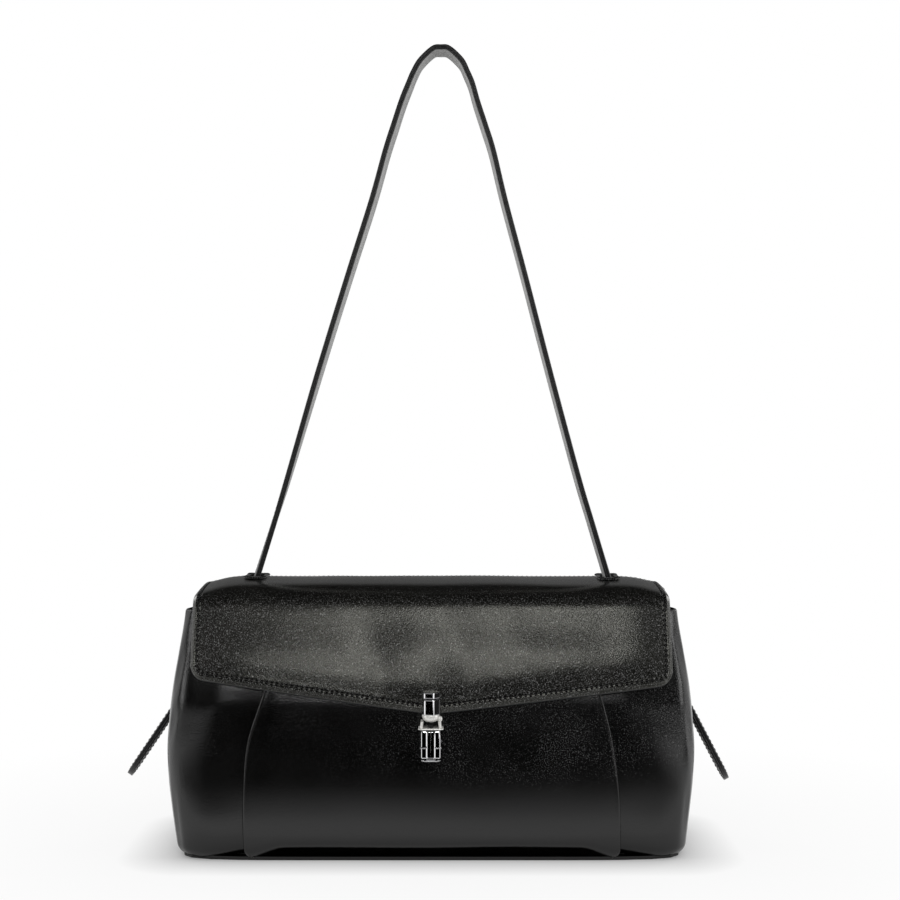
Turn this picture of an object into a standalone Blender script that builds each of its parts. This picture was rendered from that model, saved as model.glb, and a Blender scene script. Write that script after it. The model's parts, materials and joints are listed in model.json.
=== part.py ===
"""Flap shoulder bag in black leather: an open body, a folding flap, a shoulder strap and a turning clasp.

Metres, Z up, the front towards -Y, the origin on the floor below the middle of the base.
"""

import math

import bmesh
import bpy
from mathutils import Matrix, Vector

# Body
BODY_HALF_WIDTH = 0.1566
BODY_HALF_DEPTH = 0.0575
FRONT_EDGE_Z = 0.1440
BACK_EDGE_Z = 0.1520
HEIGHT_share = (0.0, 0.05, 0.10, 0.20, 0.29, 0.41, 0.52, 0.63, 0.78, 0.95, 1.05)
WIDTH_share = (0.962, 0.968, 0.973, 0.984, 0.994, 1.0, 0.994, 0.985, 0.970, 0.952, 0.944)
FRONT_DEPTH_share = (0.900, 0.930, 0.955, 0.985, 1.0, 0.990, 0.965, 0.925, 0.835, 0.690, 0.630)
BACK_DEPTH_share = (0.880, 0.910, 0.935, 0.955, 0.960, 0.945, 0.920, 0.880, 0.805, 0.705, 0.665)
PLAN_POWER = 8.0
FRONT_WRAP_DEG = 50.0
SEAM_DEG = 0.8
ROW_power = 1.5
TURN_UNDER = 0.0070
LEATHER = 0.0016
GAP = 0.0003
WALL_Z = 0.0024
FRONT_MIDDLE_share = 0.70

# Tucks in the front panel
TUCK_TOP_INSET = 0.0636
TUCK_BOTTOM_INSET = 0.0476
TUCK_TOP_X = BODY_HALF_WIDTH - TUCK_TOP_INSET
TUCK_BOTTOM_X = BODY_HALF_WIDTH - TUCK_BOTTOM_INSET
TUCK_DEPTH = 0.0025
TUCK_STEP_share = 0.011
TUCK_BEND_power = 0.7

# Gussets
FOLD_DEPTH = 0.0110
FOLD_START_Z = 0.0960

# Base, board and lining
BASE_THICKNESS = 0.0020
BASE_INSET = 0.0010
BOARD_THICKNESS = 0.0016
BOARD_Z = BASE_THICKNESS + GAP
BOARD_INSET = 0.0085
LINING = 0.0009
LINING_INSET = 0.0050
LINING_BACK_INSET = 0.0024
LINING_Z = 0.0130
LINING_BASE_Z = BOARD_Z + BOARD_THICKNESS + GAP
LINING_BASE_INSET = 0.0105
LINING_TOP_DROP = 0.0080

# Flap
FLAP_SIDE_INSET = 0.0151
FLAP_HALF_WIDTH = BODY_HALF_WIDTH - FLAP_SIDE_INSET
FLAP_HINGE_INSET = 0.0150
FLAP_HINGE_Y = BODY_HALF_DEPTH - FLAP_HINGE_INSET
FLAP_HINGE_LIFT = 0.0045
FLAP_HINGE_Z = BACK_EDGE_Z + FLAP_HINGE_LIFT
FLAP_CREASE_LIFT = 0.0065
FLAP_CREASE_Z = FRONT_EDGE_Z + FLAP_CREASE_LIFT
FLAP_RISE = 0.0080
FLAP_ARCH_power = 4.0
FLAP_DROOP = 0.0050
FLAP_REAR_DROOP_share = 0.6
FLAP_DROOP_INSET = 0.0335
FLAP_DROOP_START_X = FLAP_HALF_WIDTH - FLAP_DROOP_INSET
FLAP_TIP_Z = 0.0880
FLAP_CORNER_Z = 0.1062
FLAP_CORNER_RADIUS = 0.0080
FLAP_CLEARANCE = 0.0050
FLAP_LEATHER = 0.0014
FLAP_LINING = 0.0009
FLAP_LINING_GAP = 0.0006
FLAP_LINING_INSET = FLAP_LEATHER + FLAP_LINING_GAP
FLAP_BAND_Z = 0.1180
BAND_GAP = 0.0009
FLAP_TOP_ends_share = (0.008, 0.994)
FLAP_TOP_LINING_ends_share = (0.045, 0.960)
FLAP_FRONT_start_share = 0.010
FLAP_FRONT_LINING_start_share = 0.040
FLAP_BAND_TOP_DROP = 0.0015
FLAP_BAND_TOP_Z = FLAP_HINGE_Z - FLAP_BAND_TOP_DROP
FLAP_CROWDING_share = 0.6

# Shoulder strap
STRAP_WIDTH = 0.0220
STRAP_LAYER = 0.0015
STRAP_THICKNESS = 2 * STRAP_LAYER + GAP
SLOT_SIDE_INSET = 0.0337
SLOT_X = FLAP_HALF_WIDTH - SLOT_SIDE_INSET
SLOT_LIFT = 0.0030
SLOT_Z = FLAP_HINGE_Z + SLOT_LIFT
STRAP_FOOT_OUTSET = 0.0012
STRAP_FOOT_X = SLOT_X + STRAP_FOOT_OUTSET
STRAP_RISE = 0.3200
STRAP_FOOT_LIFT = 0.0075
STRAP_FOOT_Z = SLOT_Z + STRAP_FOOT_LIFT
ARCH_X_share = (
    -0.990, -0.905, -0.820, -0.653, -0.480, -0.346, -0.268, -0.222, -0.178, -0.139, -0.111,
    -0.072, 0.000, 0.050, 0.101, 0.173, 0.207, 0.235, 0.263, 0.307, 0.352, 0.419, 0.531, 0.676,
    0.827, 0.908, 0.988,
)
ARCH_Z_share = (
    0.000, 0.090, 0.181, 0.371, 0.561, 0.704, 0.799, 0.848, 0.894, 0.928, 0.951,
    0.974, 0.997, 1.0, 0.997, 0.974, 0.951, 0.928, 0.894, 0.848, 0.799, 0.704, 0.561, 0.371,
    0.181, 0.090, 0.000,
)
ARCH_STEPS = 3
SWING_LIFT = 0.0180
SWING_Z = STRAP_FOOT_Z + SWING_LIFT
SWING_CLEARANCE = 0.0006
ROOT_TOP_DROP = 0.0108
ROOT_DROP = 0.0065
ROOT_BOTTOM_Z = SLOT_Z - ROOT_DROP
TAIL_PIVOT_OUTSET = 0.0012
TAIL_PIVOT_X = BODY_HALF_WIDTH + TAIL_PIVOT_OUTSET
TAIL_PIVOT_Z = 0.0822
TAIL_LENGTH = 0.0500
LEFT_TAIL_DEG = 34.0
RIGHT_TAIL_DEG = 27.5

# Slots and their bindings
SLOT_MARGIN_X = 0.00255
SLOT_MARGIN_Y = 0.0024
SLOT_HALF_X = 0.5 * STRAP_THICKNESS + SLOT_MARGIN_X
SLOT_HALF_Y = 0.5 * STRAP_WIDTH + SLOT_MARGIN_Y
BINDING_RADIUS = 0.0016
BINDING_MARGIN_X = 0.0013
BINDING_MARGIN_Y = 0.0018
BINDING_HALF_X = SLOT_HALF_X + BINDING_MARGIN_X
BINDING_HALF_Y = SLOT_HALF_Y + BINDING_MARGIN_Y
GUSSET_SLOT_MARGIN = 0.0004
GUSSET_BINDING_RADIUS = 0.0009
REST_GAP = 0.00035
GUSSET_BINDING_TOP_Z = 0.0960
GUSSET_BINDING_CORNER = 0.0030

# Clasp
CLASP_STAND_OFF = 0.0101
CLASP_Y = -BODY_HALF_DEPTH - CLASP_STAND_OFF
HEX_RADIUS = 0.0055
NECK_RADIUS = 0.0049
HOUSING_BOTTOM_Z = 0.0624
HOUSING_SHOULDER_Z = 0.0688
HOUSING_TOP_Z = 0.0788
HOUSING_CHAMFER = 0.0005
SPINE_HALF_WIDTH = 0.0022
SPINE_PROUD = 0.0005
GROOVE_HALF_WIDTH = 0.0003
GROOVE_DEPTH = 0.0004
FOOT_THICKNESS = 0.0010
FLANGE_THICKNESS = 0.0010
FLANGE_HALF_WIDTH = 0.0071
FLANGE_HALF_DEPTH = 0.0055
FOOT_HALF_WIDTH = 0.0053
FOOT_HALF_DEPTH = 0.0050
FORK_BOTTOM_Z = 0.0806
FORK_TOP_Z = 0.0844
FORK_HALF_TOP = 0.0053
FORK_HALF_BOTTOM = 0.0062
FORK_HALF_DEPTH = 0.0058
FORK_GAP_TOP = 0.0034
FORK_GAP_BOTTOM = 0.0043
FORK_POCKET_RADIUS = 0.0047
FORK_POCKET_Z = 0.0832
KEY_HALF_LENGTH = 0.0043
KEY_HALF_WIDTH = 0.0014
KEY_BOTTOM_Z = 0.0811
KEY_TOP_Z = 0.0828
STEM_RADIUS = 0.0013
STEM_TOP_Z = 0.0915
BORE_RADIUS = 0.0017
SHELF_RADIUS = 0.0046
SHELF_HALF_WIDTH = 0.0030
SHELF_WEB_DROP = 0.0004
SHELF_BOTTOM_Z = 0.0847
SHELF_TOP_Z = 0.0870
BOWL_RADIUS_share = (1.0, 0.97, 0.82, 0.60)
BOWL_Z_share = (1.0, 0.62, 0.22, 0.0)
BARREL_BOTTOM_Z = 0.0874
BARREL_TOP_Z = 0.0970
BARREL_RADIUS = 0.0052
BARREL_BORE_Z = 0.0920
BARREL_TURN_DEG = -14.0
CAP_BOTTOM_Z = 0.0975
CAP_TOP_Z = 0.1014
CAP_CHAMFER = 0.0006
BRACKET_HALF_WIDTH = 0.0048
BRACKET_TOP_Z = 0.0999
BRACKET_THICKNESS = 0.0010
LUG_RADIUS = 0.0014
LUG_LENGTH = 0.0028
LUG_Z = 0.0861
RIVET_Z = (0.0921, 0.0967)
RIVET_RADIUS = 0.0011
RIVET_HEAD_RADIUS = 0.0021
RIVET_HEAD = 0.0005
RIVET_HOLE_RADIUS = 0.0014
WASHER_THICKNESS = 0.0006
WASHER_GAP = 0.0004
WASHER_HALF_WIDTH = 0.0060
BASEPLATE_HALF_WIDTH = 0.0060
BASEPLATE_TOP_Z = 0.0800
BASEPLATE_BOTTOM_Z = 0.0610
BASEPLATE_THICKNESS = 0.0012
BOSS_HALF_WIDTH = 0.0036
BOSS_MARGIN = 0.0040
SCREW_Z = (0.0660, 0.0745)
SCREW_DEPTH = 0.0020
INNER_PLATE_THICKNESS = 0.0008
CORNER_RADIUS = 0.0015
EDGE_BEVEL = 0.0002

# Smoothness
FRONT_COLUMNS = 40
PANEL_ROWS = 12
BACK_COLUMNS = 22
GUSSET_COLUMNS = 12
LINING_ROWS = 7
FLAP_COLUMNS = 26
FLAP_TOP_ROWS = 10
FLAP_FRONT_ROWS = 6
BAND_ROWS = 3
OUTLINE_POINTS = 72
RING_POINTS = 28
HEX_STEPS = 6
ROUND_STEPS = 20
MIDDLE_share = 0.5
SLOPE_STEP_share = 0.002
CUT_MARGIN = 0.0500
WELD = 0.00001
SMOOTH_DEG = 35.0

BODY_CENTRE = Vector((0.0, 0.0, 0.5 * BACK_EDGE_Z))


def smooth(share):
    share = min(max(share, 0.0), 1.0)
    return share * share * (3.0 - 2.0 * share)


def between(low, high, share):
    return low + (high - low) * share


def looked_up(table, share):
    """A smooth value from a table that is spaced as HEIGHT_share is."""
    last = len(HEIGHT_share) - 2
    place = 0
    while place < last and share > HEIGHT_share[place + 1]:
        place += 1
    low, high = HEIGHT_share[place], HEIGHT_share[place + 1]
    t = min(max((share - low) / (high - low), 0.0), 1.0)
    before = table[max(place - 1, 0)]
    start, end = table[place], table[place + 1]
    after = table[min(place + 2, len(table) - 1)]
    return 0.5 * (
        2.0 * start
        + (end - before) * t
        + (2.0 * before - 5.0 * start + 4.0 * end - after) * t * t
        + (3.0 * start - before - 3.0 * end + after) * t ** 3
    )


def turned_under(z):
    """How far the wall draws in where it rolls under at the bottom."""
    left = min(z / TURN_UNDER, 1.0)
    return TURN_UNDER * (1.0 - math.sqrt(1.0 - (1.0 - left) ** 2))


def body_size(z, front):
    share = z / BACK_EDGE_Z
    width = BODY_HALF_WIDTH * looked_up(WIDTH_share, share)
    depths = FRONT_DEPTH_share if front else BACK_DEPTH_share
    return width, BODY_HALF_DEPTH * looked_up(depths, share)


def fold_in(y, z, depth):
    """How far a gusset folds inwards at its middle."""
    rise = smooth((z - FOLD_START_Z) / (FRONT_EDGE_Z - FOLD_START_Z))
    return FOLD_DEPTH * rise * (1.0 - smooth(abs(y) / depth))


def body_point(turn_deg, z, inset):
    """A point on the body wall: the turn runs from the front middle towards +X."""
    turn = math.radians(turn_deg)
    across, along = math.sin(turn), -math.cos(turn)
    width, depth = body_size(z, along < 0.0)
    drawn = inset + turned_under(z)
    reach = (abs(across) ** PLAN_POWER + abs(along) ** PLAN_POWER) ** (-1.0 / PLAN_POWER)
    x = (width - drawn) * reach * across
    y = (depth - drawn) * reach * along
    x -= math.copysign(fold_in(y, z, depth) * smooth(abs(across) / abs(along or WELD) - 1.0), x)
    return Vector((x, y, z))


def front_wall_y(x, z):
    """Y of the front panel's outer face at the given x."""
    width, depth = body_size(z, True)
    return -depth * (1.0 - min(abs(x) / width, 1.0) ** PLAN_POWER) ** (1.0 / PLAN_POWER)


def tuck_turn(z):
    """The turn at which the tuck's fold lies."""
    share = 1.0 - min(z / FRONT_EDGE_Z, 1.0)
    x = between(TUCK_TOP_X, TUCK_BOTTOM_X, share ** TUCK_BEND_power)
    return math.degrees(math.atan(x / body_size(z, True)[0]))


def clear_scene():
    for obj in list(bpy.data.objects):
        bpy.data.objects.remove(obj)


def new_collection(name, hidden):
    made = bpy.data.collections.new(name)
    made.hide_render = hidden
    bpy.context.scene.collection.children.link(made)
    return made


def material(name, colour, roughness, metallic):
    made = bpy.data.materials.new(name)
    made.use_nodes = True
    shader = made.node_tree.nodes["Principled BSDF"]
    shader.inputs["Base Color"].default_value = (*colour, 1.0)
    shader.inputs["Roughness"].default_value = roughness
    shader.inputs["Metallic"].default_value = metallic
    return made


def leather(name):
    return material(name + "_leather", (0.016, 0.015, 0.014), 0.36, 0.0)


def strap_face(name):
    return material(name + "_split_leather", (0.33, 0.33, 0.33), 0.55, 0.0)


def cloth(name):
    return material(name + "_cloth", (0.055, 0.052, 0.050), 0.85, 0.0)


def board(name):
    return material(name + "_board", (0.30, 0.25, 0.19), 0.90, 0.0)


def chrome(name):
    return material(name + "_chrome", (0.78, 0.78, 0.79), 0.10, 1.0)


def steel(name):
    return material(name + "_steel", (0.52, 0.52, 0.53), 0.30, 1.0)


def add_object(name, mesh, made_of):
    obj = bpy.data.objects.new(name, mesh)
    mesh.materials.append(made_of(name))
    parts.objects.link(obj)
    return obj


def shade(obj):
    obj.data.polygons.foreach_set("use_smooth", [True] * len(obj.data.polygons))
    obj.data.set_sharp_from_angle(angle=math.radians(SMOOTH_DEG))


def sheet(name, columns, rows, place, thickness, made_of):
    """A soft panel: a grid laid on its outer face and thickened inwards."""
    grid = bmesh.new()
    bmesh.ops.create_grid(grid, x_segments=columns, y_segments=rows, size=MIDDLE_share)
    for corner in grid.verts:
        corner.co = place(corner.co.x + MIDDLE_share, corner.co.y + MIDDLE_share)
    grid.normal_update()
    outward = sum(face.normal.dot(face.calc_center_median() - BODY_CENTRE) for face in grid.faces)
    if outward < 0.0:
        bmesh.ops.reverse_faces(grid, faces=grid.faces)
    mesh = bpy.data.meshes.new(name)
    grid.to_mesh(mesh)
    grid.free()
    obj = add_object(name, mesh, made_of)
    shell = obj.modifiers.new("thickness", "SOLIDIFY")
    shell.thickness = thickness
    shell.offset = -1.0
    shell.use_even_offset = True
    shade(obj)
    return obj


def plate_mesh(name, outline):
    """A flat face from an outline in its own XY plane."""
    face = bmesh.new()
    bmesh.ops.create_circle(face, cap_ends=True, segments=len(outline), radius=1.0)
    face.verts.ensure_lookup_table()
    ordered = sorted(face.verts, key=lambda v: math.atan2(v.co.y, v.co.x) % math.tau)
    for corner, (x, y) in zip(ordered, outline):
        corner.co = (x, y, 0.0)
    mesh = bpy.data.meshes.new(name)
    face.to_mesh(mesh)
    face.free()
    return mesh


def plate(name, outline, thickness, placed, made_of, bevel=0.0):
    """A flat piece cut to an outline, as thick on each side of its own plane."""
    obj = add_object(name, plate_mesh(name, outline), made_of)
    obj.matrix_world = placed
    slab = obj.modifiers.new("thickness", "SOLIDIFY")
    slab.thickness = thickness
    slab.offset = 0.0
    if bevel:
        edge = obj.modifiers.new("edge", "BEVEL")
        edge.width = bevel
        edge.segments = 2
        edge.limit_method = "ANGLE"
    shade(obj)
    return obj


def turned(name, profile, steps, placed, made_of):
    """A shape turned about its own Z: the profile runs down its outer side as (radius, height)."""
    obj = add_object(name, profile_mesh(name, profile), made_of)
    obj.matrix_world = placed
    return spun(obj, steps)


def block_mesh(name, low, high):
    made = bmesh.new()
    bmesh.ops.create_cube(made, size=1.0)
    for corner in made.verts:
        for axis in range(3):
            corner.co[axis] = between(low[axis], high[axis], corner.co[axis] + MIDDLE_share)
    mesh = bpy.data.meshes.new(name)
    made.to_mesh(mesh)
    made.free()
    return mesh


def helper(name, mesh, placed=None):
    """A hidden tool for a Boolean."""
    obj = bpy.data.objects.new(name, mesh)
    cutters.objects.link(obj)
    obj.matrix_world = placed or Matrix()
    obj.hide_render = True
    obj.display_type = "WIRE"
    return obj


def block_helper(name, low, high, placed=None):
    return helper(name, block_mesh(name, low, high), placed)


def rod_mesh(name, radius, length):
    made = bmesh.new()
    bmesh.ops.create_cone(
        made, cap_ends=True, segments=ROUND_STEPS, radius1=radius, radius2=radius, depth=length
    )
    mesh = bpy.data.meshes.new(name)
    made.to_mesh(mesh)
    made.free()
    return mesh


def prism_helper(name, outline, thickness, placed):
    obj = helper(name, plate_mesh(name, outline), placed)
    slab = obj.modifiers.new("thickness", "SOLIDIFY")
    slab.thickness = thickness
    slab.offset = 0.0
    return obj


def spun(obj, steps):
    spin = obj.modifiers.new("turn", "SCREW")
    spin.steps = steps
    spin.render_steps = steps
    spin.use_merge_vertices = True
    spin.merge_threshold = WELD
    spin.use_smooth_shade = steps > HEX_STEPS
    return obj


def profile_mesh(name, profile):
    mesh = bpy.data.meshes.new(name)
    run = [(radius, 0.0, height) for radius, height in profile]
    mesh.from_pydata(run, [(k, k + 1) for k in range(len(run) - 1)], [])
    return mesh


def bowl_helper(name, profile, placed):
    return spun(helper(name, profile_mesh(name, profile), placed), ROUND_STEPS)


def combine(obj, other, operation):
    step = obj.modifiers.new(operation.lower(), "BOOLEAN")
    step.operation = operation
    step.solver = "EXACT"
    step.object = other
    return obj


def cut(obj, other):
    return combine(obj, other, "DIFFERENCE")


def oval(half_x, half_y, count):
    """A slot outline: straight sides with round ends along Y."""
    straight = half_y - half_x
    points = []
    for k in range(count):
        turn = math.tau * (k + MIDDLE_share) / count
        y = half_x * math.sin(turn)
        points.append((half_x * math.cos(turn), y + math.copysign(straight, y)))
    return points


def rounded_box(low_x, low_y, high_x, high_y, radius):
    corners = (
        (high_x - radius, high_y - radius, 0.0),
        (low_x + radius, high_y - radius, 90.0),
        (low_x + radius, low_y + radius, 180.0),
        (high_x - radius, low_y + radius, 270.0),
    )
    points = []
    for x, y, start in corners:
        for step in range(4):
            turn = math.radians(start + 30.0 * step)
            points.append((x + radius * math.cos(turn), y + radius * math.sin(turn)))
    return points


def placed_at(x, y, z, axis="X", degrees=0.0):
    return Matrix.Translation((x, y, z)) @ Matrix.Rotation(math.radians(degrees), 4, axis)


def joint_at(name, x, y, z, parent=None):
    """A named point on a joint axis, which its moving pieces hang from."""
    point = bpy.data.objects.new(name, None)
    parts.objects.link(point)
    point.location = (x, y, z)
    if parent:
        hang(point, parent)
    bpy.context.view_layer.update()
    return point


def hang(obj, joint):
    obj.parent = joint
    obj.matrix_parent_inverse = joint.matrix_world.inverted()


# Body
def add_front_panel():
    inner, outer = -TUCK_STEP_share, TUCK_STEP_share

    def place(u, v):
        side = 2.0 * u - 1.0
        z = between(WALL_Z, FRONT_EDGE_Z, v ** ROW_power)
        fold = tuck_turn(z)
        away = abs(side)
        span = FRONT_WRAP_DEG - SEAM_DEG
        if away < FRONT_MIDDLE_share + inner:
            share = away / (FRONT_MIDDLE_share + inner)
            turn, drop = fold * share * (1.0 + inner), 0.0
        elif away < FRONT_MIDDLE_share + outer:
            step = (away - FRONT_MIDDLE_share - inner) / (outer - inner)
            turn = fold * between(1.0 + inner, 1.0 + outer, step)
            drop = smooth(step)
        else:
            share = (away - FRONT_MIDDLE_share - outer) / (1.0 - FRONT_MIDDLE_share - outer)
            turn = between(fold * (1.0 + outer), span, share)
            drop = (1.0 - share) ** 2
        return body_point(math.copysign(turn, side), z, TUCK_DEPTH * drop)

    return sheet("front_panel", FRONT_COLUMNS, PANEL_ROWS, place, LEATHER, leather)


def add_back_panel():
    def place(u, v):
        turn = between(180.0 - FRONT_WRAP_DEG + SEAM_DEG, 180.0 + FRONT_WRAP_DEG - SEAM_DEG, u)
        return body_point(turn, between(WALL_Z, BACK_EDGE_Z, v ** ROW_power), 0.0)

    return sheet("back_panel", BACK_COLUMNS, PANEL_ROWS, place, LEATHER, leather)


def gusset_place(side, drop, start_z, inset):
    def place(u, v):
        turn = between(FRONT_WRAP_DEG + SEAM_DEG, 180.0 - FRONT_WRAP_DEG - SEAM_DEG, u)
        top = between(FRONT_EDGE_Z, BACK_EDGE_Z, u) - drop
        return body_point(side * turn, between(start_z, top, v ** ROW_power), inset)

    return place


def add_gusset(name, side):
    place = gusset_place(side, 0.0, WALL_Z, 0.0)
    gusset = sheet(name, GUSSET_COLUMNS, PANEL_ROWS, place, LEATHER, leather)
    return cut(gusset, strap_cutters[side])


def body_outline(z, inset):
    points = []
    for k in range(OUTLINE_POINTS):
        point = body_point(360.0 * (k + MIDDLE_share) / OUTLINE_POINTS, z, inset)
        points.append((point.x, point.y))
    return points


def add_base_panel():
    outline = body_outline(WALL_Z, BASE_INSET)
    placed = placed_at(0.0, 0.0, 0.5 * BASE_THICKNESS)
    return plate("base_panel", outline, BASE_THICKNESS, placed, leather)


def add_base_board():
    outline = body_outline(TURN_UNDER, BOARD_INSET)
    placed = placed_at(0.0, 0.0, BOARD_Z + 0.5 * BOARD_THICKNESS)
    return plate("base_board", outline, BOARD_THICKNESS, placed, board)


def add_lining_face(name, middle_deg, top_z, inset):
    def place(u, v):
        half = FRONT_WRAP_DEG - 2.0 * SEAM_DEG
        turn = between(middle_deg - half, middle_deg + half, u)
        return body_point(turn, between(LINING_Z, top_z - LINING_TOP_DROP, v), inset)

    return sheet(name, BACK_COLUMNS, LINING_ROWS, place, LINING, cloth)


def add_lining_gusset(name, side):
    def place(u, v):
        start = FRONT_WRAP_DEG + 2.0 * SEAM_DEG
        turn = between(start, 180.0 - start, u)
        top = between(FRONT_EDGE_Z, BACK_EDGE_Z, u) - LINING_TOP_DROP
        return body_point(side * turn, between(LINING_Z, top, v), LINING_INSET)

    lining = sheet(name, GUSSET_COLUMNS, LINING_ROWS, place, LINING, cloth)
    return cut(lining, strap_cutters[side])


def add_lining_base():
    outline = body_outline(TURN_UNDER, LINING_BASE_INSET)
    placed = placed_at(0.0, 0.0, LINING_BASE_Z + 0.5 * LINING)
    return plate("lining_base", outline, LINING, placed, cloth)


# Flap
def flap_droop(x):
    over = (abs(x) - FLAP_DROOP_START_X) / (FLAP_HALF_WIDTH - FLAP_DROOP_START_X)
    return FLAP_DROOP * max(over, 0.0) ** 2


def flap_crease_y():
    return front_wall_y(0.0, FLAP_CREASE_Z) - FLAP_CLEARANCE


def flap_top_point(u, t):
    x = FLAP_HALF_WIDTH * (2.0 * u - 1.0)
    arch = 1.0 - abs(2.0 * t - 1.0) ** FLAP_ARCH_power
    crease_z = FLAP_CREASE_Z
    front_y = front_wall_y(x, crease_z) - FLAP_CLEARANCE
    y = between(FLAP_HINGE_Y, front_y, t)
    droop = flap_droop(x) * between(FLAP_REAR_DROOP_share, 1.0, smooth(2.0 * t))
    z = between(FLAP_HINGE_Z, crease_z, t) + FLAP_RISE * arch - droop
    return Vector((x, y, z))


def flap_bottom_z(x):
    share = abs(x) / FLAP_HALF_WIDTH
    z = between(FLAP_TIP_Z, FLAP_CORNER_Z, share)
    over = max(abs(x) - (FLAP_HALF_WIDTH - FLAP_CORNER_RADIUS), 0.0)
    over = min(over, FLAP_CORNER_RADIUS)
    return z + FLAP_CORNER_RADIUS - math.sqrt(FLAP_CORNER_RADIUS ** 2 - over ** 2)


def flap_front_point(u, s):
    x = FLAP_HALF_WIDTH * (2.0 * u - 1.0)
    z = between(FLAP_CREASE_Z - flap_droop(x), flap_bottom_z(x), s)
    return Vector((x, front_wall_y(x, z) - FLAP_CLEARANCE, z))


def flap_band_point(u, v):
    x = FLAP_HALF_WIDTH * (2.0 * u - 1.0)
    top_z = FLAP_BAND_TOP_Z - flap_droop(x) * FLAP_REAR_DROOP_share
    z = between(FLAP_BAND_Z, top_z, v)
    width, depth = body_size(z, False)
    reach = (1.0 - (abs(x) / width) ** PLAN_POWER) ** (1.0 / PLAN_POWER)
    return Vector((x, depth * reach + BAND_GAP + FLAP_LEATHER, z))


def inward(place, u, v, depth):
    """The point that lies this far below the outer face at (u, v)."""
    here = place(u, v)
    step = SLOPE_STEP_share
    across = place(u + step, v) - place(u - step, v)
    down = place(u, v + step) - place(u, v - step)
    normal = across.cross(down).normalized()
    if normal.dot(here - BODY_CENTRE) < 0.0:
        normal.negate()
    return here - normal * depth


def add_flap_piece(name, place, ends, rows, inset, thickness, made_of):
    def placed(u, v):
        crowded = MIDDLE_share - MIDDLE_share * math.cos(math.pi * u)
        spread = between(u, crowded, FLAP_CROWDING_share)
        return inward(place, between(0.001, 0.999, spread), between(ends[0], ends[1], v), inset)

    return sheet(name, FLAP_COLUMNS, rows, placed, thickness, made_of)


def add_flap_top(flap_hinge):
    outer = add_flap_piece(
        "flap_top", flap_top_point, FLAP_TOP_ends_share, FLAP_TOP_ROWS, 0.0, FLAP_LEATHER, leather
    )
    inner = add_flap_piece(
        "flap_top_lining", flap_top_point, FLAP_TOP_LINING_ends_share, FLAP_TOP_ROWS,
        FLAP_LINING_INSET, FLAP_LINING, cloth,
    )
    for piece in (outer, inner):
        for side in (-1.0, 1.0):
            cut(piece, slot_cutters[side])
        hang(piece, flap_hinge)


def add_flap_front(flap_crease):
    outer = add_flap_piece(
        "flap_front", flap_front_point, (FLAP_FRONT_start_share, 0.999), FLAP_FRONT_ROWS, 0.0,
        FLAP_LEATHER, leather,
    )
    inner = add_flap_piece(
        "flap_front_lining", flap_front_point, (FLAP_FRONT_LINING_start_share, 0.999),
        FLAP_FRONT_ROWS, FLAP_LINING_INSET, FLAP_LINING, cloth,
    )
    for piece in (outer, inner):
        for hole in rivet_holes:
            cut(piece, hole)
        hang(piece, flap_crease)


def add_flap_band():
    return sheet("flap_back_band", FLAP_COLUMNS, BAND_ROWS, flap_band_point, FLAP_LEATHER, leather)


# Strap
def arch_line():
    """Even steps along the strap's outer edge, as seen from the front."""
    marks = [
        Vector((STRAP_FOOT_X * x, STRAP_FOOT_Z + STRAP_RISE * z))
        for x, z in zip(ARCH_X_share, ARCH_Z_share)
    ]
    marks.insert(0, 2.0 * marks[0] - marks[1])
    marks.append(2.0 * marks[-1] - marks[-2])
    line = []
    for k in range(1, len(marks) - 2):
        before, start, end, after = marks[k - 1: k + 3]
        for j in range(ARCH_STEPS):
            t = j / ARCH_STEPS
            line.append(0.5 * (
                2.0 * start
                + (end - before) * t
                + (2.0 * before - 5.0 * start + 4.0 * end - after) * t * t
                + (3.0 * start - before - 3.0 * end + after) * t ** 3
            ))
    line.append(marks[-2])
    return line


def drawn_in(line, depth):
    """The line moved towards the inside of the arch."""
    moved = []
    for k, point in enumerate(line):
        ahead = line[min(k + 1, len(line) - 1)] - line[max(k - 1, 0)]
        moved.append(point + Vector((ahead.y, -ahead.x)).normalized() * depth)
    return moved


def strap_piece(name, line, depth, thickness, made_of):
    """A length of strap: a thin outline across X and Z, as wide as the strap along Y."""
    outer = drawn_in(line, depth)
    inner = drawn_in(line, depth + thickness)
    outline = [(point.x, point.y) for point in outer + inner[::-1]]
    upright = placed_at(0.0, 0.0, 0.0, "X", 90.0)
    return plate(name, outline, STRAP_WIDTH, upright, made_of)


def add_strap_arch(swing):
    line = arch_line()
    radius = 0.5 * STRAP_WIDTH
    top = STRAP_FOOT_Z + STRAP_RISE + CUT_MARGIN
    stadium = [(radius, top), (-radius, top)]
    for step in range(13):
        turn = math.radians(180.0 + 15.0 * step)
        stadium.append((radius * math.cos(turn), SWING_Z + radius * math.sin(turn)))
    stand = Matrix.Rotation(math.radians(90.0), 4, "Z") @ Matrix.Rotation(math.radians(90.0), 4, "X")
    round_ends = prism_helper("strap_round_ends", stadium, 4.0 * STRAP_FOOT_X, stand)
    outer = strap_piece("strap_arch_outer", line, 0.0, STRAP_LAYER, leather)
    inner = strap_piece("strap_arch_inner", line, STRAP_LAYER + GAP, STRAP_LAYER, strap_face)
    for piece in (outer, inner):
        combine(piece, round_ends, "INTERSECT")
        hang(piece, swing)


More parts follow.
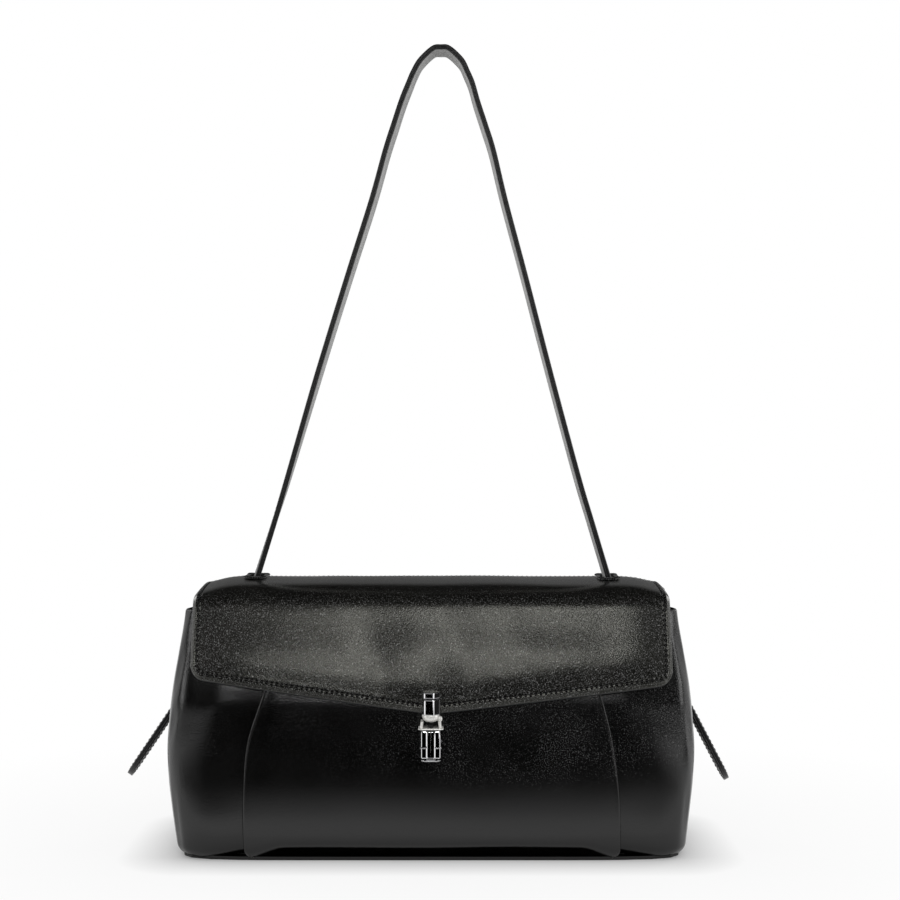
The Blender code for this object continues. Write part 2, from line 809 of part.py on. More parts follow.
def slot_line(side, high_z, low_z):
    """The strap's middle line from above the flap slot to the gusset slot."""
    foot = arch_line()[0]
    foot_x = -foot.x - 0.5 * STRAP_THICKNESS
    points = []
    if high_z > SLOT_Z:
        lean = (foot_x - SLOT_X) / (foot.y - SLOT_Z)
        points.append(Vector((side * (SLOT_X + lean * (high_z - SLOT_Z)), high_z)))
        points.append(Vector((side * SLOT_X, SLOT_Z)))
    slope = (TAIL_PIVOT_X - SLOT_X) / (SLOT_Z - TAIL_PIVOT_Z)
    start_z = min(high_z, SLOT_Z)
    if start_z < SLOT_Z:
        points.append(Vector((side * (SLOT_X + slope * (SLOT_Z - start_z)), start_z)))
    points.append(Vector((side * (SLOT_X + slope * (SLOT_Z - low_z)), low_z)))
    return points[::-1] if side < 0.0 else points


def add_strap_root(name, side, flap_hinge):
    line = slot_line(side, SWING_Z - ROOT_TOP_DROP, ROOT_BOTTOM_Z)
    root = strap_piece(name, line, -0.5 * STRAP_THICKNESS, STRAP_THICKNESS, leather)
    radius = 0.5 * STRAP_WIDTH + SWING_CLEARANCE
    across = placed_at(0.0, 0.0, SWING_Z, "Y", 90.0)
    cut(root, helper(name + "_cut", rod_mesh(name + "_cut", radius, 4.0 * STRAP_FOOT_X), across))
    hang(root, flap_hinge)


def add_strap_run(name, side):
    line = slot_line(side, ROOT_BOTTOM_Z - 4.0 * GAP, TAIL_PIVOT_Z + STRAP_THICKNESS)
    return strap_piece(name, line, -0.5 * STRAP_THICKNESS, STRAP_THICKNESS, leather)


def tail_outline():
    half = 0.5 * STRAP_WIDTH
    start = GAP
    points = [(half, -start), (-half, -start)]
    for step in range(13):
        turn = math.radians(180.0 + 15.0 * step)
        points.append((half * math.cos(turn), half * math.sin(turn) - TAIL_LENGTH + half))
    return points


def add_strap_tail(name, side, degrees, joint):
    lean = Matrix.Rotation(math.radians(-side * degrees), 4, "Y")
    stand = Matrix.Rotation(math.radians(90.0), 4, "Z") @ Matrix.Rotation(math.radians(90.0), 4, "X")
    pivot = Matrix.Translation((side * TAIL_PIVOT_X, 0.0, TAIL_PIVOT_Z))
    shift = side * 0.5 * (STRAP_LAYER + GAP)
    outer_at = pivot @ lean @ Matrix.Translation((shift, 0.0, 0.0)) @ stand
    inner_at = pivot @ lean @ Matrix.Translation((-shift, 0.0, 0.0)) @ stand
    pieces = [
        plate(name + "_outer", tail_outline(), STRAP_LAYER, outer_at, leather),
        plate(name + "_inner", tail_outline(), STRAP_LAYER, inner_at, strap_face),
    ]
    for piece in pieces:
        hang(piece, joint)


# Slots
def strap_cutter(name, side):
    """A slanted prism that the strap passes through a gusset in."""
    slope = math.atan2(TAIL_PIVOT_X - SLOT_X, SLOT_Z - TAIL_PIVOT_Z)
    half_x = 0.5 * STRAP_THICKNESS + GUSSET_SLOT_MARGIN
    half_y = 0.5 * STRAP_WIDTH + GUSSET_SLOT_MARGIN
    length = 0.5 * (SLOT_Z - TAIL_PIVOT_Z)
    placed = Matrix.Translation((side * TAIL_PIVOT_X, 0.0, TAIL_PIVOT_Z))
    placed = placed @ Matrix.Rotation(-side * slope, 4, "Y")
    return block_helper(name, (-half_x, -half_y, -length), (half_x, half_y, length), placed)


def slot_cutter(name, side):
    outline = oval(SLOT_HALF_X, SLOT_HALF_Y, RING_POINTS)
    return prism_helper(name, outline, STRAP_WIDTH, placed_at(side * SLOT_X, 0.0, SLOT_Z))


def ring(name, points, radius, made_of):
    """A closed round-section ring through the points."""
    curve = bpy.data.curves.new(name, "CURVE")
    curve.dimensions = "3D"
    curve.bevel_depth = radius
    curve.bevel_resolution = 1
    spline = curve.splines.new("POLY")
    spline.points.add(len(points) - 1)
    for target, point in zip(spline.points, points):
        target.co = (*point, 1.0)
    spline.use_cyclic_u = True
    curve.materials.append(made_of(name))
    obj = bpy.data.objects.new(name, curve)
    parts.objects.link(obj)
    return obj


def add_slot_binding(name, side, flap_hinge):
    points = []
    for x, y in oval(BINDING_HALF_X, BINDING_HALF_Y, RING_POINTS):
        t = (FLAP_HINGE_Y - y) / (FLAP_HINGE_Y - flap_crease_y())
        u = 0.5 + 0.5 * (side * SLOT_X + x) / FLAP_HALF_WIDTH
        z = flap_top_point(u, t).z + GAP + BINDING_RADIUS
        points.append((side * SLOT_X + x, y, z))
    hang(ring(name, points, BINDING_RADIUS, leather), flap_hinge)


def add_gusset_binding(name, side, tail_deg):
    """The ring whose lower bar the tail rests on."""
    lean = math.radians(tail_deg)
    bar_x = body_size(TAIL_PIVOT_Z - STRAP_THICKNESS, True)[0] + GAP + GUSSET_BINDING_RADIUS
    stand_off = GUSSET_BINDING_RADIUS + REST_GAP + 0.5 * STRAP_THICKNESS
    drop = (stand_off / math.cos(lean) - (TAIL_PIVOT_X - bar_x)) / math.tan(lean)
    low_z = TAIL_PIVOT_Z - drop
    points = []
    for z, y in rounded_box(
        low_z, -BINDING_HALF_Y, GUSSET_BINDING_TOP_Z, BINDING_HALF_Y, GUSSET_BINDING_CORNER
    ):
        width, depth = body_size(z, True)
        x = width - fold_in(y, z, depth) + GAP + GUSSET_BINDING_RADIUS
        points.append((side * x, y, z))
    return ring(name, points, GUSSET_BINDING_RADIUS, leather)


# Clasp
def clasp_at(z, degrees=0.0):
    return placed_at(0.0, CLASP_Y, z, "Z", degrees)


def hex_profile(radius, low, high, chamfer):
    height = high - low
    return (
        (0.0, height), (radius - chamfer, height), (radius, height - chamfer),
        (radius, chamfer), (radius - chamfer, 0.0), (0.0, 0.0),
    )


def add_clasp_housing():
    shoulder = HOUSING_SHOULDER_Z - HOUSING_BOTTOM_Z
    height = HOUSING_TOP_Z - HOUSING_BOTTOM_Z
    step = HEX_RADIUS - NECK_RADIUS
    profile = (
        (0.0, height), (HEX_RADIUS - HOUSING_CHAMFER, height), (HEX_RADIUS, height - HOUSING_CHAMFER),
        (HEX_RADIUS, shoulder), (NECK_RADIUS, shoulder - step),
        (NECK_RADIUS, HOUSING_CHAMFER), (NECK_RADIUS - HOUSING_CHAMFER, 0.0), (0.0, 0.0),
    )
    at_foot = clasp_at(HOUSING_BOTTOM_Z)
    housing = turned("clasp_housing", profile, HEX_STEPS, at_foot, chrome)
    face_y = -HEX_RADIUS * math.cos(math.radians(30.0))
    low_z, high_z = HOUSING_CHAMFER, height - HOUSING_CHAMFER
    front_y = face_y - SPINE_PROUD
    spine_low = (-SPINE_HALF_WIDTH, front_y, low_z)
    spine = block_helper("housing_spine", spine_low, (SPINE_HALF_WIDTH, 0.0, high_z), at_foot)
    combine(housing, spine, "UNION")
    groove_low = (-GROOVE_HALF_WIDTH, front_y - CUT_MARGIN, low_z + HOUSING_CHAMFER)
    groove_high = (GROOVE_HALF_WIDTH, front_y + GROOVE_DEPTH, high_z - HOUSING_CHAMFER)
    cut(housing, block_helper("housing_groove", groove_low, groove_high, at_foot))
    for hole in screw_holes:
        cut(housing, hole)
    return housing


def clasp_plate(name, half_width, half_depth, low_z, high_z, made_of):
    outline = rounded_box(-half_width, -half_depth, half_width, half_depth, CORNER_RADIUS)
    return plate(
        name, outline, high_z - low_z, clasp_at(0.5 * (low_z + high_z)), made_of, EDGE_BEVEL
    )


def add_clasp_plates():
    clasp_plate(
        "clasp_flange", FLANGE_HALF_WIDTH, FLANGE_HALF_DEPTH, HOUSING_TOP_Z + GAP,
        HOUSING_TOP_Z + GAP + FLANGE_THICKNESS, chrome,
    )
    clasp_plate(
        "clasp_foot", FOOT_HALF_WIDTH, FOOT_HALF_DEPTH, HOUSING_BOTTOM_Z - GAP - FOOT_THICKNESS,
        HOUSING_BOTTOM_Z - GAP, chrome,
    )


def add_clasp_fork():
    """The collar that the key drops into: it is open at the front and above."""
    outline = (
        (FORK_HALF_BOTTOM, FORK_BOTTOM_Z), (FORK_HALF_TOP, FORK_TOP_Z),
        (-FORK_HALF_TOP, FORK_TOP_Z), (-FORK_HALF_BOTTOM, FORK_BOTTOM_Z),
    )
    upright = placed_at(0.0, CLASP_Y, 0.0, "X", 90.0)
    fork = plate("clasp_fork", outline, 2.0 * FORK_HALF_DEPTH, upright, chrome, EDGE_BEVEL)
    floor_z = FORK_BOTTOM_Z - CUT_MARGIN
    slant = (FORK_GAP_BOTTOM - FORK_GAP_TOP) / (FORK_TOP_Z - FORK_BOTTOM_Z)
    low_half = FORK_GAP_BOTTOM + slant * FORK_BOTTOM_Z
    high_z = FORK_TOP_Z + FORK_HALF_TOP
    high_half = low_half - slant * high_z
    low_z = FORK_BOTTOM_Z - FORK_HALF_TOP
    bottom_half = low_half - slant * low_z
    gap = (
        (bottom_half, low_z), (high_half, high_z), (-high_half, high_z), (-bottom_half, low_z),
    )
    gap_y = CLASP_Y + FORK_POCKET_RADIUS - 0.5 * CUT_MARGIN
    cut(fork, prism_helper("fork_gap", gap, CUT_MARGIN, placed_at(0.0, gap_y, 0.0, "X", 90.0)))
    floor_z = KEY_BOTTOM_Z - GAP
    height = FORK_POCKET_Z - floor_z
    pocket = rod_mesh("fork_pocket", FORK_POCKET_RADIUS, height)
    cut(fork, helper("fork_pocket", pocket, clasp_at(floor_z + 0.5 * height)))
    return fork


def add_clasp_key(turn):
    """The stem with its cross bar, which turns with the barrel."""
    bar = rounded_box(-KEY_HALF_WIDTH, -KEY_HALF_LENGTH, KEY_HALF_WIDTH, KEY_HALF_LENGTH, KEY_HALF_WIDTH)
    key = plate("clasp_key", bar, KEY_TOP_Z - KEY_BOTTOM_Z, clasp_at(0.5 * (KEY_BOTTOM_Z + KEY_TOP_Z)), steel)
    low_z = 0.5 * (KEY_BOTTOM_Z + KEY_TOP_Z)
    stem = rod_mesh("key_stem", STEM_RADIUS, STEM_TOP_Z - low_z)
    combine(key, helper("key_stem", stem, clasp_at(0.5 * (STEM_TOP_Z + low_z))), "UNION")
    hang(key, turn)


def add_clasp_barrel(turn):
    height = BARREL_TOP_Z - BARREL_BOTTOM_Z
    bore = BARREL_BORE_Z - BARREL_BOTTOM_Z
    profile = (
        (0.0, height), (BARREL_RADIUS - CAP_CHAMFER, height), (BARREL_RADIUS, height - CAP_CHAMFER),
        (BARREL_RADIUS, CAP_CHAMFER), (BARREL_RADIUS - CAP_CHAMFER, 0.0), (0.0, 0.0),
    )
    placed = clasp_at(BARREL_BOTTOM_Z, BARREL_TURN_DEG)
    barrel = turned("clasp_barrel", profile, HEX_STEPS, placed, chrome)
    hole = rod_mesh("barrel_bore", BORE_RADIUS, 2.0 * bore)
    cut(barrel, helper("barrel_bore", hole, clasp_at(BARREL_BOTTOM_Z)))
    hang(barrel, turn)
    cap_profile = hex_profile(BARREL_RADIUS, CAP_BOTTOM_Z, CAP_TOP_Z, CAP_CHAMFER)
    cap = turned("clasp_cap", cap_profile, HEX_STEPS, clasp_at(CAP_BOTTOM_Z, BARREL_TURN_DEG), chrome)
    hang(cap, turn)


def flap_face_y(z):
    return front_wall_y(0.0, z) - FLAP_CLEARANCE


def flap_lean_deg():
    low_z, high_z = RIVET_Z
    return math.degrees(math.atan2(flap_face_y(high_z) - flap_face_y(low_z), high_z - low_z))


def leaning(z, depth):
    """A place on the flap's outer face at the middle, moved inwards by depth, with Z across the leather."""
    lean = Matrix.Rotation(math.radians(90.0 - flap_lean_deg()), 4, "X")
    return Matrix.Translation((0.0, flap_face_y(z), z)) @ lean @ Matrix.Translation((0.0, 0.0, -depth))


def add_clasp_bracket(flap_crease):
    """The plate on the flap, with the shelf that carries the turning barrel."""
    middle_z = 0.5 * (SHELF_BOTTOM_Z + BRACKET_TOP_Z)
    half = 0.5 * (BRACKET_TOP_Z - SHELF_BOTTOM_Z)
    outline = rounded_box(-BRACKET_HALF_WIDTH, -half, BRACKET_HALF_WIDTH, half, CORNER_RADIUS)
    lift = GAP + BRACKET_THICKNESS
    bracket = plate(
        "clasp_bracket", outline, BRACKET_THICKNESS, leaning(middle_z, -lift), chrome
    )
    shelf_middle = 0.5 * (SHELF_BOTTOM_Z + SHELF_TOP_Z)
    reach = flap_face_y(SHELF_TOP_Z) - GAP - 0.5 * BRACKET_THICKNESS
    low = (-SHELF_HALF_WIDTH, 0.0, SHELF_BOTTOM_Z + SHELF_WEB_DROP)
    high = (SHELF_HALF_WIDTH, reach - CLASP_Y, SHELF_TOP_Z - SHELF_WEB_DROP)
    combine(bracket, block_helper("bracket_shelf", low, high, clasp_at(0.0)), "UNION")
    height = SHELF_TOP_Z - SHELF_BOTTOM_Z
    bowl = [(0.0, height)]
    bowl += [(SHELF_RADIUS * r, height * z) for r, z in zip(BOWL_RADIUS_share, BOWL_Z_share)]
    bowl.append((0.0, 0.0))
    combine(bracket, bowl_helper("bracket_bowl", bowl, clasp_at(SHELF_BOTTOM_Z)), "UNION")
    hole = rod_mesh("bracket_hole", BORE_RADIUS, CUT_MARGIN)
    cut(bracket, helper("bracket_hole", hole, clasp_at(shelf_middle)))
    for rivet in rivet_holes:
        cut(bracket, rivet)
    hang(bracket, flap_crease)


def add_clasp_lug(flap_crease):
    """The head of the small screw that closes the shelf's bore."""
    placed = placed_at(SHELF_RADIUS + GAP, CLASP_Y, LUG_Z, "Y", 90.0)
    flat = LUG_LENGTH - LUG_RADIUS
    profile = [(0.0, LUG_LENGTH)]
    for turn_deg in (60.0, 30.0, 0.0):
        turn = math.radians(turn_deg)
        profile.append((LUG_RADIUS * math.cos(turn), flat + LUG_RADIUS * math.sin(turn)))
    profile += [(LUG_RADIUS, 0.0), (0.0, 0.0)]
    hang(turned("clasp_lug", profile, ROUND_STEPS, placed, chrome), flap_crease)


def add_flap_washer(flap_crease):
    middle_z = 0.5 * (RIVET_Z[0] + RIVET_Z[1])
    half = 0.5 * (RIVET_Z[1] - RIVET_Z[0]) + BRACKET_HALF_WIDTH - CORNER_RADIUS
    outline = rounded_box(-WASHER_HALF_WIDTH, -half, WASHER_HALF_WIDTH, half, CORNER_RADIUS)
    depth = FLAP_LINING_INSET + FLAP_LINING + WASHER_GAP + 0.5 * WASHER_THICKNESS
    washer = plate("flap_washer_plate", outline, WASHER_THICKNESS, leaning(middle_z, depth), steel)
    for rivet in rivet_holes:
        cut(washer, rivet)
    hang(washer, flap_crease)


def add_rivets(flap_crease):
    """Two rivets from the washer plate through the flap into the bracket."""
    depth = FLAP_LINING_INSET + FLAP_LINING + WASHER_GAP + GAP + WASHER_THICKNESS
    length = depth + GAP + 0.5 * BRACKET_THICKNESS
    profile = (
        (0.0, length), (RIVET_RADIUS, length), (RIVET_RADIUS, 0.0), (RIVET_HEAD_RADIUS, 0.0),
        (RIVET_HEAD_RADIUS, -RIVET_HEAD), (0.0, -RIVET_HEAD),
    )
    for z, name in zip(RIVET_Z, ("clasp_rivet_lower", "clasp_rivet_upper")):
        hang(turned(name, profile, ROUND_STEPS, leaning(z, depth), steel), flap_crease)


def rivet_hole(name, z):
    return helper(name, rod_mesh(name, RIVET_HOLE_RADIUS, BRACKET_HALF_WIDTH * 2.0), leaning(z, 0.0))


def panel_face_y(z):
    return front_wall_y(0.0, z)


def standing(y, z):
    """A place on an upright plate: its own Z points to the front."""
    return placed_at(0.0, y, z, "X", 90.0)


def screw_span():
    """Y of the inner screw heads' seat, and of the screws' front ends."""
    inner = max(panel_face_y(z) for z in SCREW_Z) + LEATHER + 2.0 * GAP + INNER_PLATE_THICKNESS
    housing_back = CLASP_Y + HEX_RADIUS * math.cos(math.radians(30.0))
    return inner + 2.0 * GAP, housing_back - SCREW_DEPTH


def screw_hole(name, z):
    seat, front = screw_span()
    length = seat - front + 2.0 * GAP
    hole = rod_mesh(name, RIVET_HOLE_RADIUS, length + BOSS_MARGIN)
    return helper(name, hole, standing(front - GAP + 0.5 * (length + BOSS_MARGIN), z))


def add_baseplate():
    """The plate on the front panel, with the boss that holds the housing off the leather."""
    middle_z = 0.5 * (BASEPLATE_BOTTOM_Z + BASEPLATE_TOP_Z)
    half = 0.5 * (BASEPLATE_TOP_Z - BASEPLATE_BOTTOM_Z)
    outline = rounded_box(-BASEPLATE_HALF_WIDTH, -half, BASEPLATE_HALF_WIDTH, half, CORNER_RADIUS)
    foremost = min(panel_face_y(BASEPLATE_BOTTOM_Z), panel_face_y(BASEPLATE_TOP_Z))
    middle_y = foremost - GAP - 0.5 * BASEPLATE_THICKNESS
    base = plate("clasp_baseplate", outline, BASEPLATE_THICKNESS, standing(middle_y, middle_z), chrome)
    back = CLASP_Y + HEX_RADIUS * math.cos(math.radians(30.0)) + GAP
    low = (-BOSS_HALF_WIDTH, back, BASEPLATE_BOTTOM_Z + BOSS_MARGIN)
    high = (BOSS_HALF_WIDTH, middle_y, BASEPLATE_TOP_Z - BOSS_MARGIN)
    combine(base, block_helper("baseplate_boss", low, high), "UNION")
    for hole in screw_holes:
        cut(base, hole)


def add_inner_plate():
    middle_z = 0.5 * (SCREW_Z[0] + SCREW_Z[1])
    half = 0.5 * (SCREW_Z[1] - SCREW_Z[0]) + BOSS_MARGIN
    outline = rounded_box(-BASEPLATE_HALF_WIDTH, -half, BASEPLATE_HALF_WIDTH, half, CORNER_RADIUS)
    seat = screw_span()[0] - GAP
    middle_y = seat - 0.5 * INNER_PLATE_THICKNESS
    inner = plate("clasp_inner_plate", outline, INNER_PLATE_THICKNESS, standing(middle_y, middle_z), steel)
    for hole in screw_holes:
        cut(inner, hole)


def add_screws():
    seat, front = screw_span()
    length = seat - front
    profile = (
        (0.0, length), (RIVET_RADIUS, length), (RIVET_RADIUS, 0.0), (RIVET_HEAD_RADIUS, 0.0),
        (RIVET_HEAD_RADIUS, -RIVET_HEAD), (0.0, -RIVET_HEAD),
    )
    for z, name in zip(SCREW_Z, ("clasp_screw_lower", "clasp_screw_upper")):
        turned(name, profile, ROUND_STEPS, standing(seat, z), steel)


def add_body():
    front = add_front_panel()
    for hole in screw_holes:
        cut(front, hole)
    add_back_panel()
    add_gusset("gusset_left", -1.0)
    add_gusset("gusset_right", 1.0)
    add_base_panel()
    add_base_board()
    add_lining_face("lining_front", 0.0, FRONT_EDGE_Z, LINING_INSET)
    add_lining_face("lining_back", 180.0, BACK_EDGE_Z, LINING_BACK_INSET)
    add_lining_gusset("lining_gusset_left", -1.0)
    add_lining_gusset("lining_gusset_right", 1.0)
    add_lining_base()
    add_flap_band()
    add_gusset_binding("gusset_binding_left", -1.0, LEFT_TAIL_DEG)
    add_gusset_binding("gusset_binding_right", 1.0, RIGHT_TAIL_DEG)


def add_flap(flap_hinge, flap_crease):
    add_flap_top(flap_hinge)
    add_flap_front(flap_crease)
    add_slot_binding("slot_binding_left", -1.0, flap_hinge)
    add_slot_binding("slot_binding_right", 1.0, flap_hinge)


def add_strap(flap_hinge, strap_swing):
    add_strap_arch(strap_swing)
    add_strap_root("strap_root_left", -1.0, flap_hinge)
    add_strap_root("strap_root_right", 1.0, flap_hinge)
    add_strap_run("strap_run_left", -1.0)
    add_strap_run("strap_run_right", 1.0)
    left = joint_at("tail_left_axis", -TAIL_PIVOT_X, 0.0, TAIL_PIVOT_Z)
    right = joint_at("tail_right_axis", TAIL_PIVOT_X, 0.0, TAIL_PIVOT_Z)
    add_strap_tail("strap_tail_left", -1.0, LEFT_TAIL_DEG, left)
    add_strap_tail("strap_tail_right", 1.0, RIGHT_TAIL_DEG, right)


def add_clasp(flap_crease):
    clasp_turn = joint_at("clasp_turn_axis", 0.0, CLASP_Y, BARREL_BOTTOM_Z, flap_crease)
    add_clasp_bracket(flap_crease)
    add_clasp_lug(flap_crease)
    add_flap_washer(flap_crease)
    add_rivets(flap_crease)
    add_clasp_key(clasp_turn)
    add_clasp_barrel(clasp_turn)
    add_clasp_housing()
    add_clasp_plates()
    add_clasp_fork()
    add_baseplate()
    add_inner_plate()
    add_screws()


clear_scene()
parts = new_collection("flap_shoulder_bag", False)
cutters = new_collection("cutters", True)
strap_cutters = {-1.0: strap_cutter("gusset_slot_left", -1.0), 1.0: strap_cutter("gusset_slot_right", 1.0)}
slot_cutters = {-1.0: slot_cutter("flap_slot_left", -1.0), 1.0: slot_cutter("flap_slot_right", 1.0)}
rivet_holes = [rivet_hole(f"rivet_hole_{k}", z) for k, z in enumerate(RIVET_Z)]
screw_holes = [screw_hole(f"screw_hole_{k}", z) for k, z in enumerate(SCREW_Z)]
hinge_axis = joint_at("flap_hinge_axis", 0.0, FLAP_HINGE_Y, FLAP_HINGE_Z - FLAP_LEATHER)
crease_axis = joint_at("flap_crease_axis", 0.0, flap_crease_y(), FLAP_CREASE_Z, hinge_axis)
swing_axis = joint_at("strap_swing_axis", 0.0, 0.0, SWING_Z, hinge_axis)
add_body()
add_flap(hinge_axis, crease_axis)
add_strap(hinge_axis, swing_axis)
add_clasp(crease_axis)
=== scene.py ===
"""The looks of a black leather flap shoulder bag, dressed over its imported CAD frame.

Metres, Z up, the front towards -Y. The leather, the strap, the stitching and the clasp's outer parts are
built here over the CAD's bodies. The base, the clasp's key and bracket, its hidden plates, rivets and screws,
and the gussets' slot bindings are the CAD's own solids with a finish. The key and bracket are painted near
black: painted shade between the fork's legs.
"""

import json
import math

import bmesh
import bpy
import numpy as np
from mathutils import Matrix, Vector, noise


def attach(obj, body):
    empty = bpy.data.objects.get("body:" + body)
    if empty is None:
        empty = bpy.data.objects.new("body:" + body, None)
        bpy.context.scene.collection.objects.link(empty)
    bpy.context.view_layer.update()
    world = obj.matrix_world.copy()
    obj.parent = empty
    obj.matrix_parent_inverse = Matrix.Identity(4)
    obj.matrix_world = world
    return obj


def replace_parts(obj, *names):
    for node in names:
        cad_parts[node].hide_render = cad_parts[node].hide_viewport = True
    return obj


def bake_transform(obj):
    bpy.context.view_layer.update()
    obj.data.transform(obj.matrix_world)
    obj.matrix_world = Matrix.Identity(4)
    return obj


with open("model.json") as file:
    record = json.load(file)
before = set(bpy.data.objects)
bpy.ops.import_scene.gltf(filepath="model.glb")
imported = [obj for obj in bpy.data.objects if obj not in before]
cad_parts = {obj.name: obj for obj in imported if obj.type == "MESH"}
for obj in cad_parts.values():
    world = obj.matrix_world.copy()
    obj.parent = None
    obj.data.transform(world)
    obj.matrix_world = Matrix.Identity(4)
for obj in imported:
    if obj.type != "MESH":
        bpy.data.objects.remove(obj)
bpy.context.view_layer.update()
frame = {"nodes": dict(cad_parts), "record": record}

# Camera, as the photograph was taken
CAMERA_PLACE = (0.011, -1.0, 0.240)
LENS_MM = 65.0
SENSOR_MM = 36.0

# Body walls, the CAD's own sizes: half width and half depth at eleven heights, as shares. The dressed front
# has its own depths, a little fuller above the middle.
BODY_HALF_WIDTH = 0.1566
BODY_HALF_DEPTH = 0.0575
FRONT_EDGE_Z = 0.1440
BACK_EDGE_Z = 0.1520
HEIGHT_share = (0.0, 0.05, 0.10, 0.20, 0.29, 0.41, 0.52, 0.63, 0.78, 0.95, 1.05)
WIDTH_share = (0.962, 0.968, 0.973, 0.984, 0.994, 1.0, 0.994, 0.985, 0.970, 0.952, 0.944)
FRONT_DEPTH_share = (0.900, 0.930, 0.955, 0.985, 1.0, 0.990, 0.965, 0.925, 0.835, 0.690, 0.630)
BACK_DEPTH_share = (0.880, 0.910, 0.935, 0.955, 0.960, 0.945, 0.920, 0.880, 0.805, 0.705, 0.665)
BODY_FRONT_DEPTH_share = (0.900, 0.930, 0.955, 0.985, 1.0, 0.997, 0.985, 0.960, 0.866, 0.700, 0.640)
PLAN_POWER = 8.0
SEAM_DEG = 50.0
TURN_UNDER = 0.0070
FOLD_DEPTH = 0.0110
FOLD_START_Z = 0.0960
WALL_THICKNESS = 0.0026
FACING = 0.0160
BODY_ROWS = 72
TURN_ROWS = 9
MIDDLE_COLUMNS = 34
REST_COLUMNS = 92
SEAM_WIDTH_DEG = 0.55
SEAM_SINK = 0.0009
BODY_CENTRE = np.array((0.0, 0.0, 0.5 * BACK_EDGE_Z))

# The front's foot stands a little above the base, less so beside the tucks
FOOT_LIFT = 0.0058
FOOT_INNER_share = 0.10
FOOT_INNER_RUN = 0.0240
FOOT_OUTER_share = 0.55
FOOT_OUTER_RUN = 0.0380
FOOT_FOLD_share = 0.42
FOOT_EASE_share = 0.12

# Tucks in the front: X of each fold at five heights, and the fold's own path outwards and inwards
TUCK_Z = (0.0, 0.0365, 0.0685, 0.0987, 0.1440)
TUCK_LEFT_X = (0.1094, 0.1093, 0.1070, 0.0972, 0.0850)
TUCK_RIGHT_X = (0.1112, 0.1098, 0.1056, 0.0985, 0.0870)
FOLD_OUT = (
    -0.0160, -0.0100, -0.0060, -0.0034, -0.0014, 0.0, 0.0006, 0.0001,
    -0.0012, -0.0024, -0.0012, 0.0012, 0.0045, 0.0095, 0.0170, 0.0280,
)
FOLD_IN = (
    0.0, -0.0001, -0.0004, -0.0008, -0.0009, -0.0004, 0.0005, 0.0015,
    0.0022, 0.0028, 0.0034, 0.0034, 0.0030, 0.0023, 0.0012, 0.0,
)
FOLD_STEPS = 3
TUCK_STEPS = 6

# Just short of a whole, where a round end would come to a point
NEAR_FULL_share = 0.9995

# Flap: its top from the hinge to the start of the front roll as Y and Z, then the roll and the front
FLAP_HALF_WIDTH = 0.1415
FLAP_HINGE = (0.0425, 0.1565)
CREST_HANDLES_Z = (0.1618, 0.1624)
ROLL_START = (-0.0260, 0.1597)
ROLL_END_Z = 0.1462
ROLL_END_SHIFT = 0.0004
ROLL_SLOPE = 0.120
ROLL_HANDLE = 0.0088
ROLL_PROBES = (-0.006, 0.001)
FLAP_DROOP = 0.0050
FLAP_REAR_DROOP_share = 0.6
FLAP_DROOP_START_X = 0.1080
FLAP_TIP_Z = 0.0874
FLAP_CORNERS_Z = (0.1072, 0.1036)
FLAP_CORNER_RADIUS = 0.0080
FLAP_CLEARANCE = 0.0050
FLAP_THICKNESS = 0.0025
FLAP_SEAM_share = 0.25
FLAP_REAR_ROWS = 24
FLAP_ROLL_ROWS = 40
FLAP_TOP_ROWS = FLAP_REAR_ROWS + FLAP_ROLL_ROWS // 2
FLAP_FRONT_ROWS = 22
FLAP_COLUMNS = 130
FLAP_BORDER = 0.0090
FLAP_BORDER_ROWS = 26
FLAP_EASING = 6
FLAP_EASED_ROWS = slice(FLAP_REAR_ROWS - 8, FLAP_REAR_ROWS + FLAP_ROLL_ROWS + 12)
FLAP_LEAN_share = 0.97

# Relief along the flap's edge
RIDGE_PLACE = 0.0023
RIDGE = 0.00030
RIDGE_WIDTH = 0.00045
EDGE_FALL = 0.0010
EDGE_FALL_power = 1.4
CHANNEL_DEPTH = 0.00025
CHANNEL_WIDTH = 0.00085
PADDING = 0.0006
PADDING_START = 0.0050
PADDING_WIDTH = 0.0120

# The band that joins the flap to the back
BAND_Z = (0.1180, 0.1530)
BAND_GAP = 0.0023
BAND_THICKNESS = 0.0016
BAND_COLUMNS = 90
BAND_REAR_ROWS = 18
BAND_TOP_ROWS = 16
BAND_START_share = 0.01
BAND_LAP_share = 0.07
BAND_LAP_EASE_share = 0.03
BAND_LAP_GAP = 0.0002
BAND_EASING = 14
BAND_EASED_ROWS = slice(8, -6)

# Soft ripples in the leather: depth, size and seed
FLAP_RIPPLE = (0.0009, 0.048, 11.0)
BODY_RIPPLE = (1.2 * FLAP_RIPPLE[0], 1.4 * FLAP_RIPPLE[1], 3.0)

# Strap: its arch as shares of the foot's X and of the rise, with the turn of its face along it
STRAP_WIDTH = 0.0220
STRAP_THICKNESS = 0.0033
STRAP_EDGE = 0.0012
STRAP_COLUMNS = 9
STRAP_FOOT_X = 0.1090
STRAP_FOOT_Z = 0.1670
STRAP_RISE = 0.3199
STRAP_BULGE = 0.0004
STRAP_SINK = 0.0120
SINK_STEPS = 6
BULGE_STEPS = 30
ARCH_X_share = (
    -0.990, -0.905, -0.820, -0.653, -0.480, -0.346, -0.268, -0.222, -0.178, -0.139, -0.111,
    -0.072, 0.000, 0.050, 0.101, 0.173, 0.207, 0.235, 0.263, 0.307, 0.352, 0.419, 0.531, 0.676,
    0.827, 0.908, 0.988,
)
ARCH_Z_share = (
    0.000, 0.090, 0.181, 0.371, 0.561, 0.704, 0.799, 0.848, 0.894, 0.928, 0.951,
    0.974, 0.997, 1.0, 0.997, 0.974, 0.951, 0.928, 0.894, 0.848, 0.799, 0.704, 0.561, 0.371,
    0.181, 0.090, 0.000,
)
ARCH_STEPS = 9
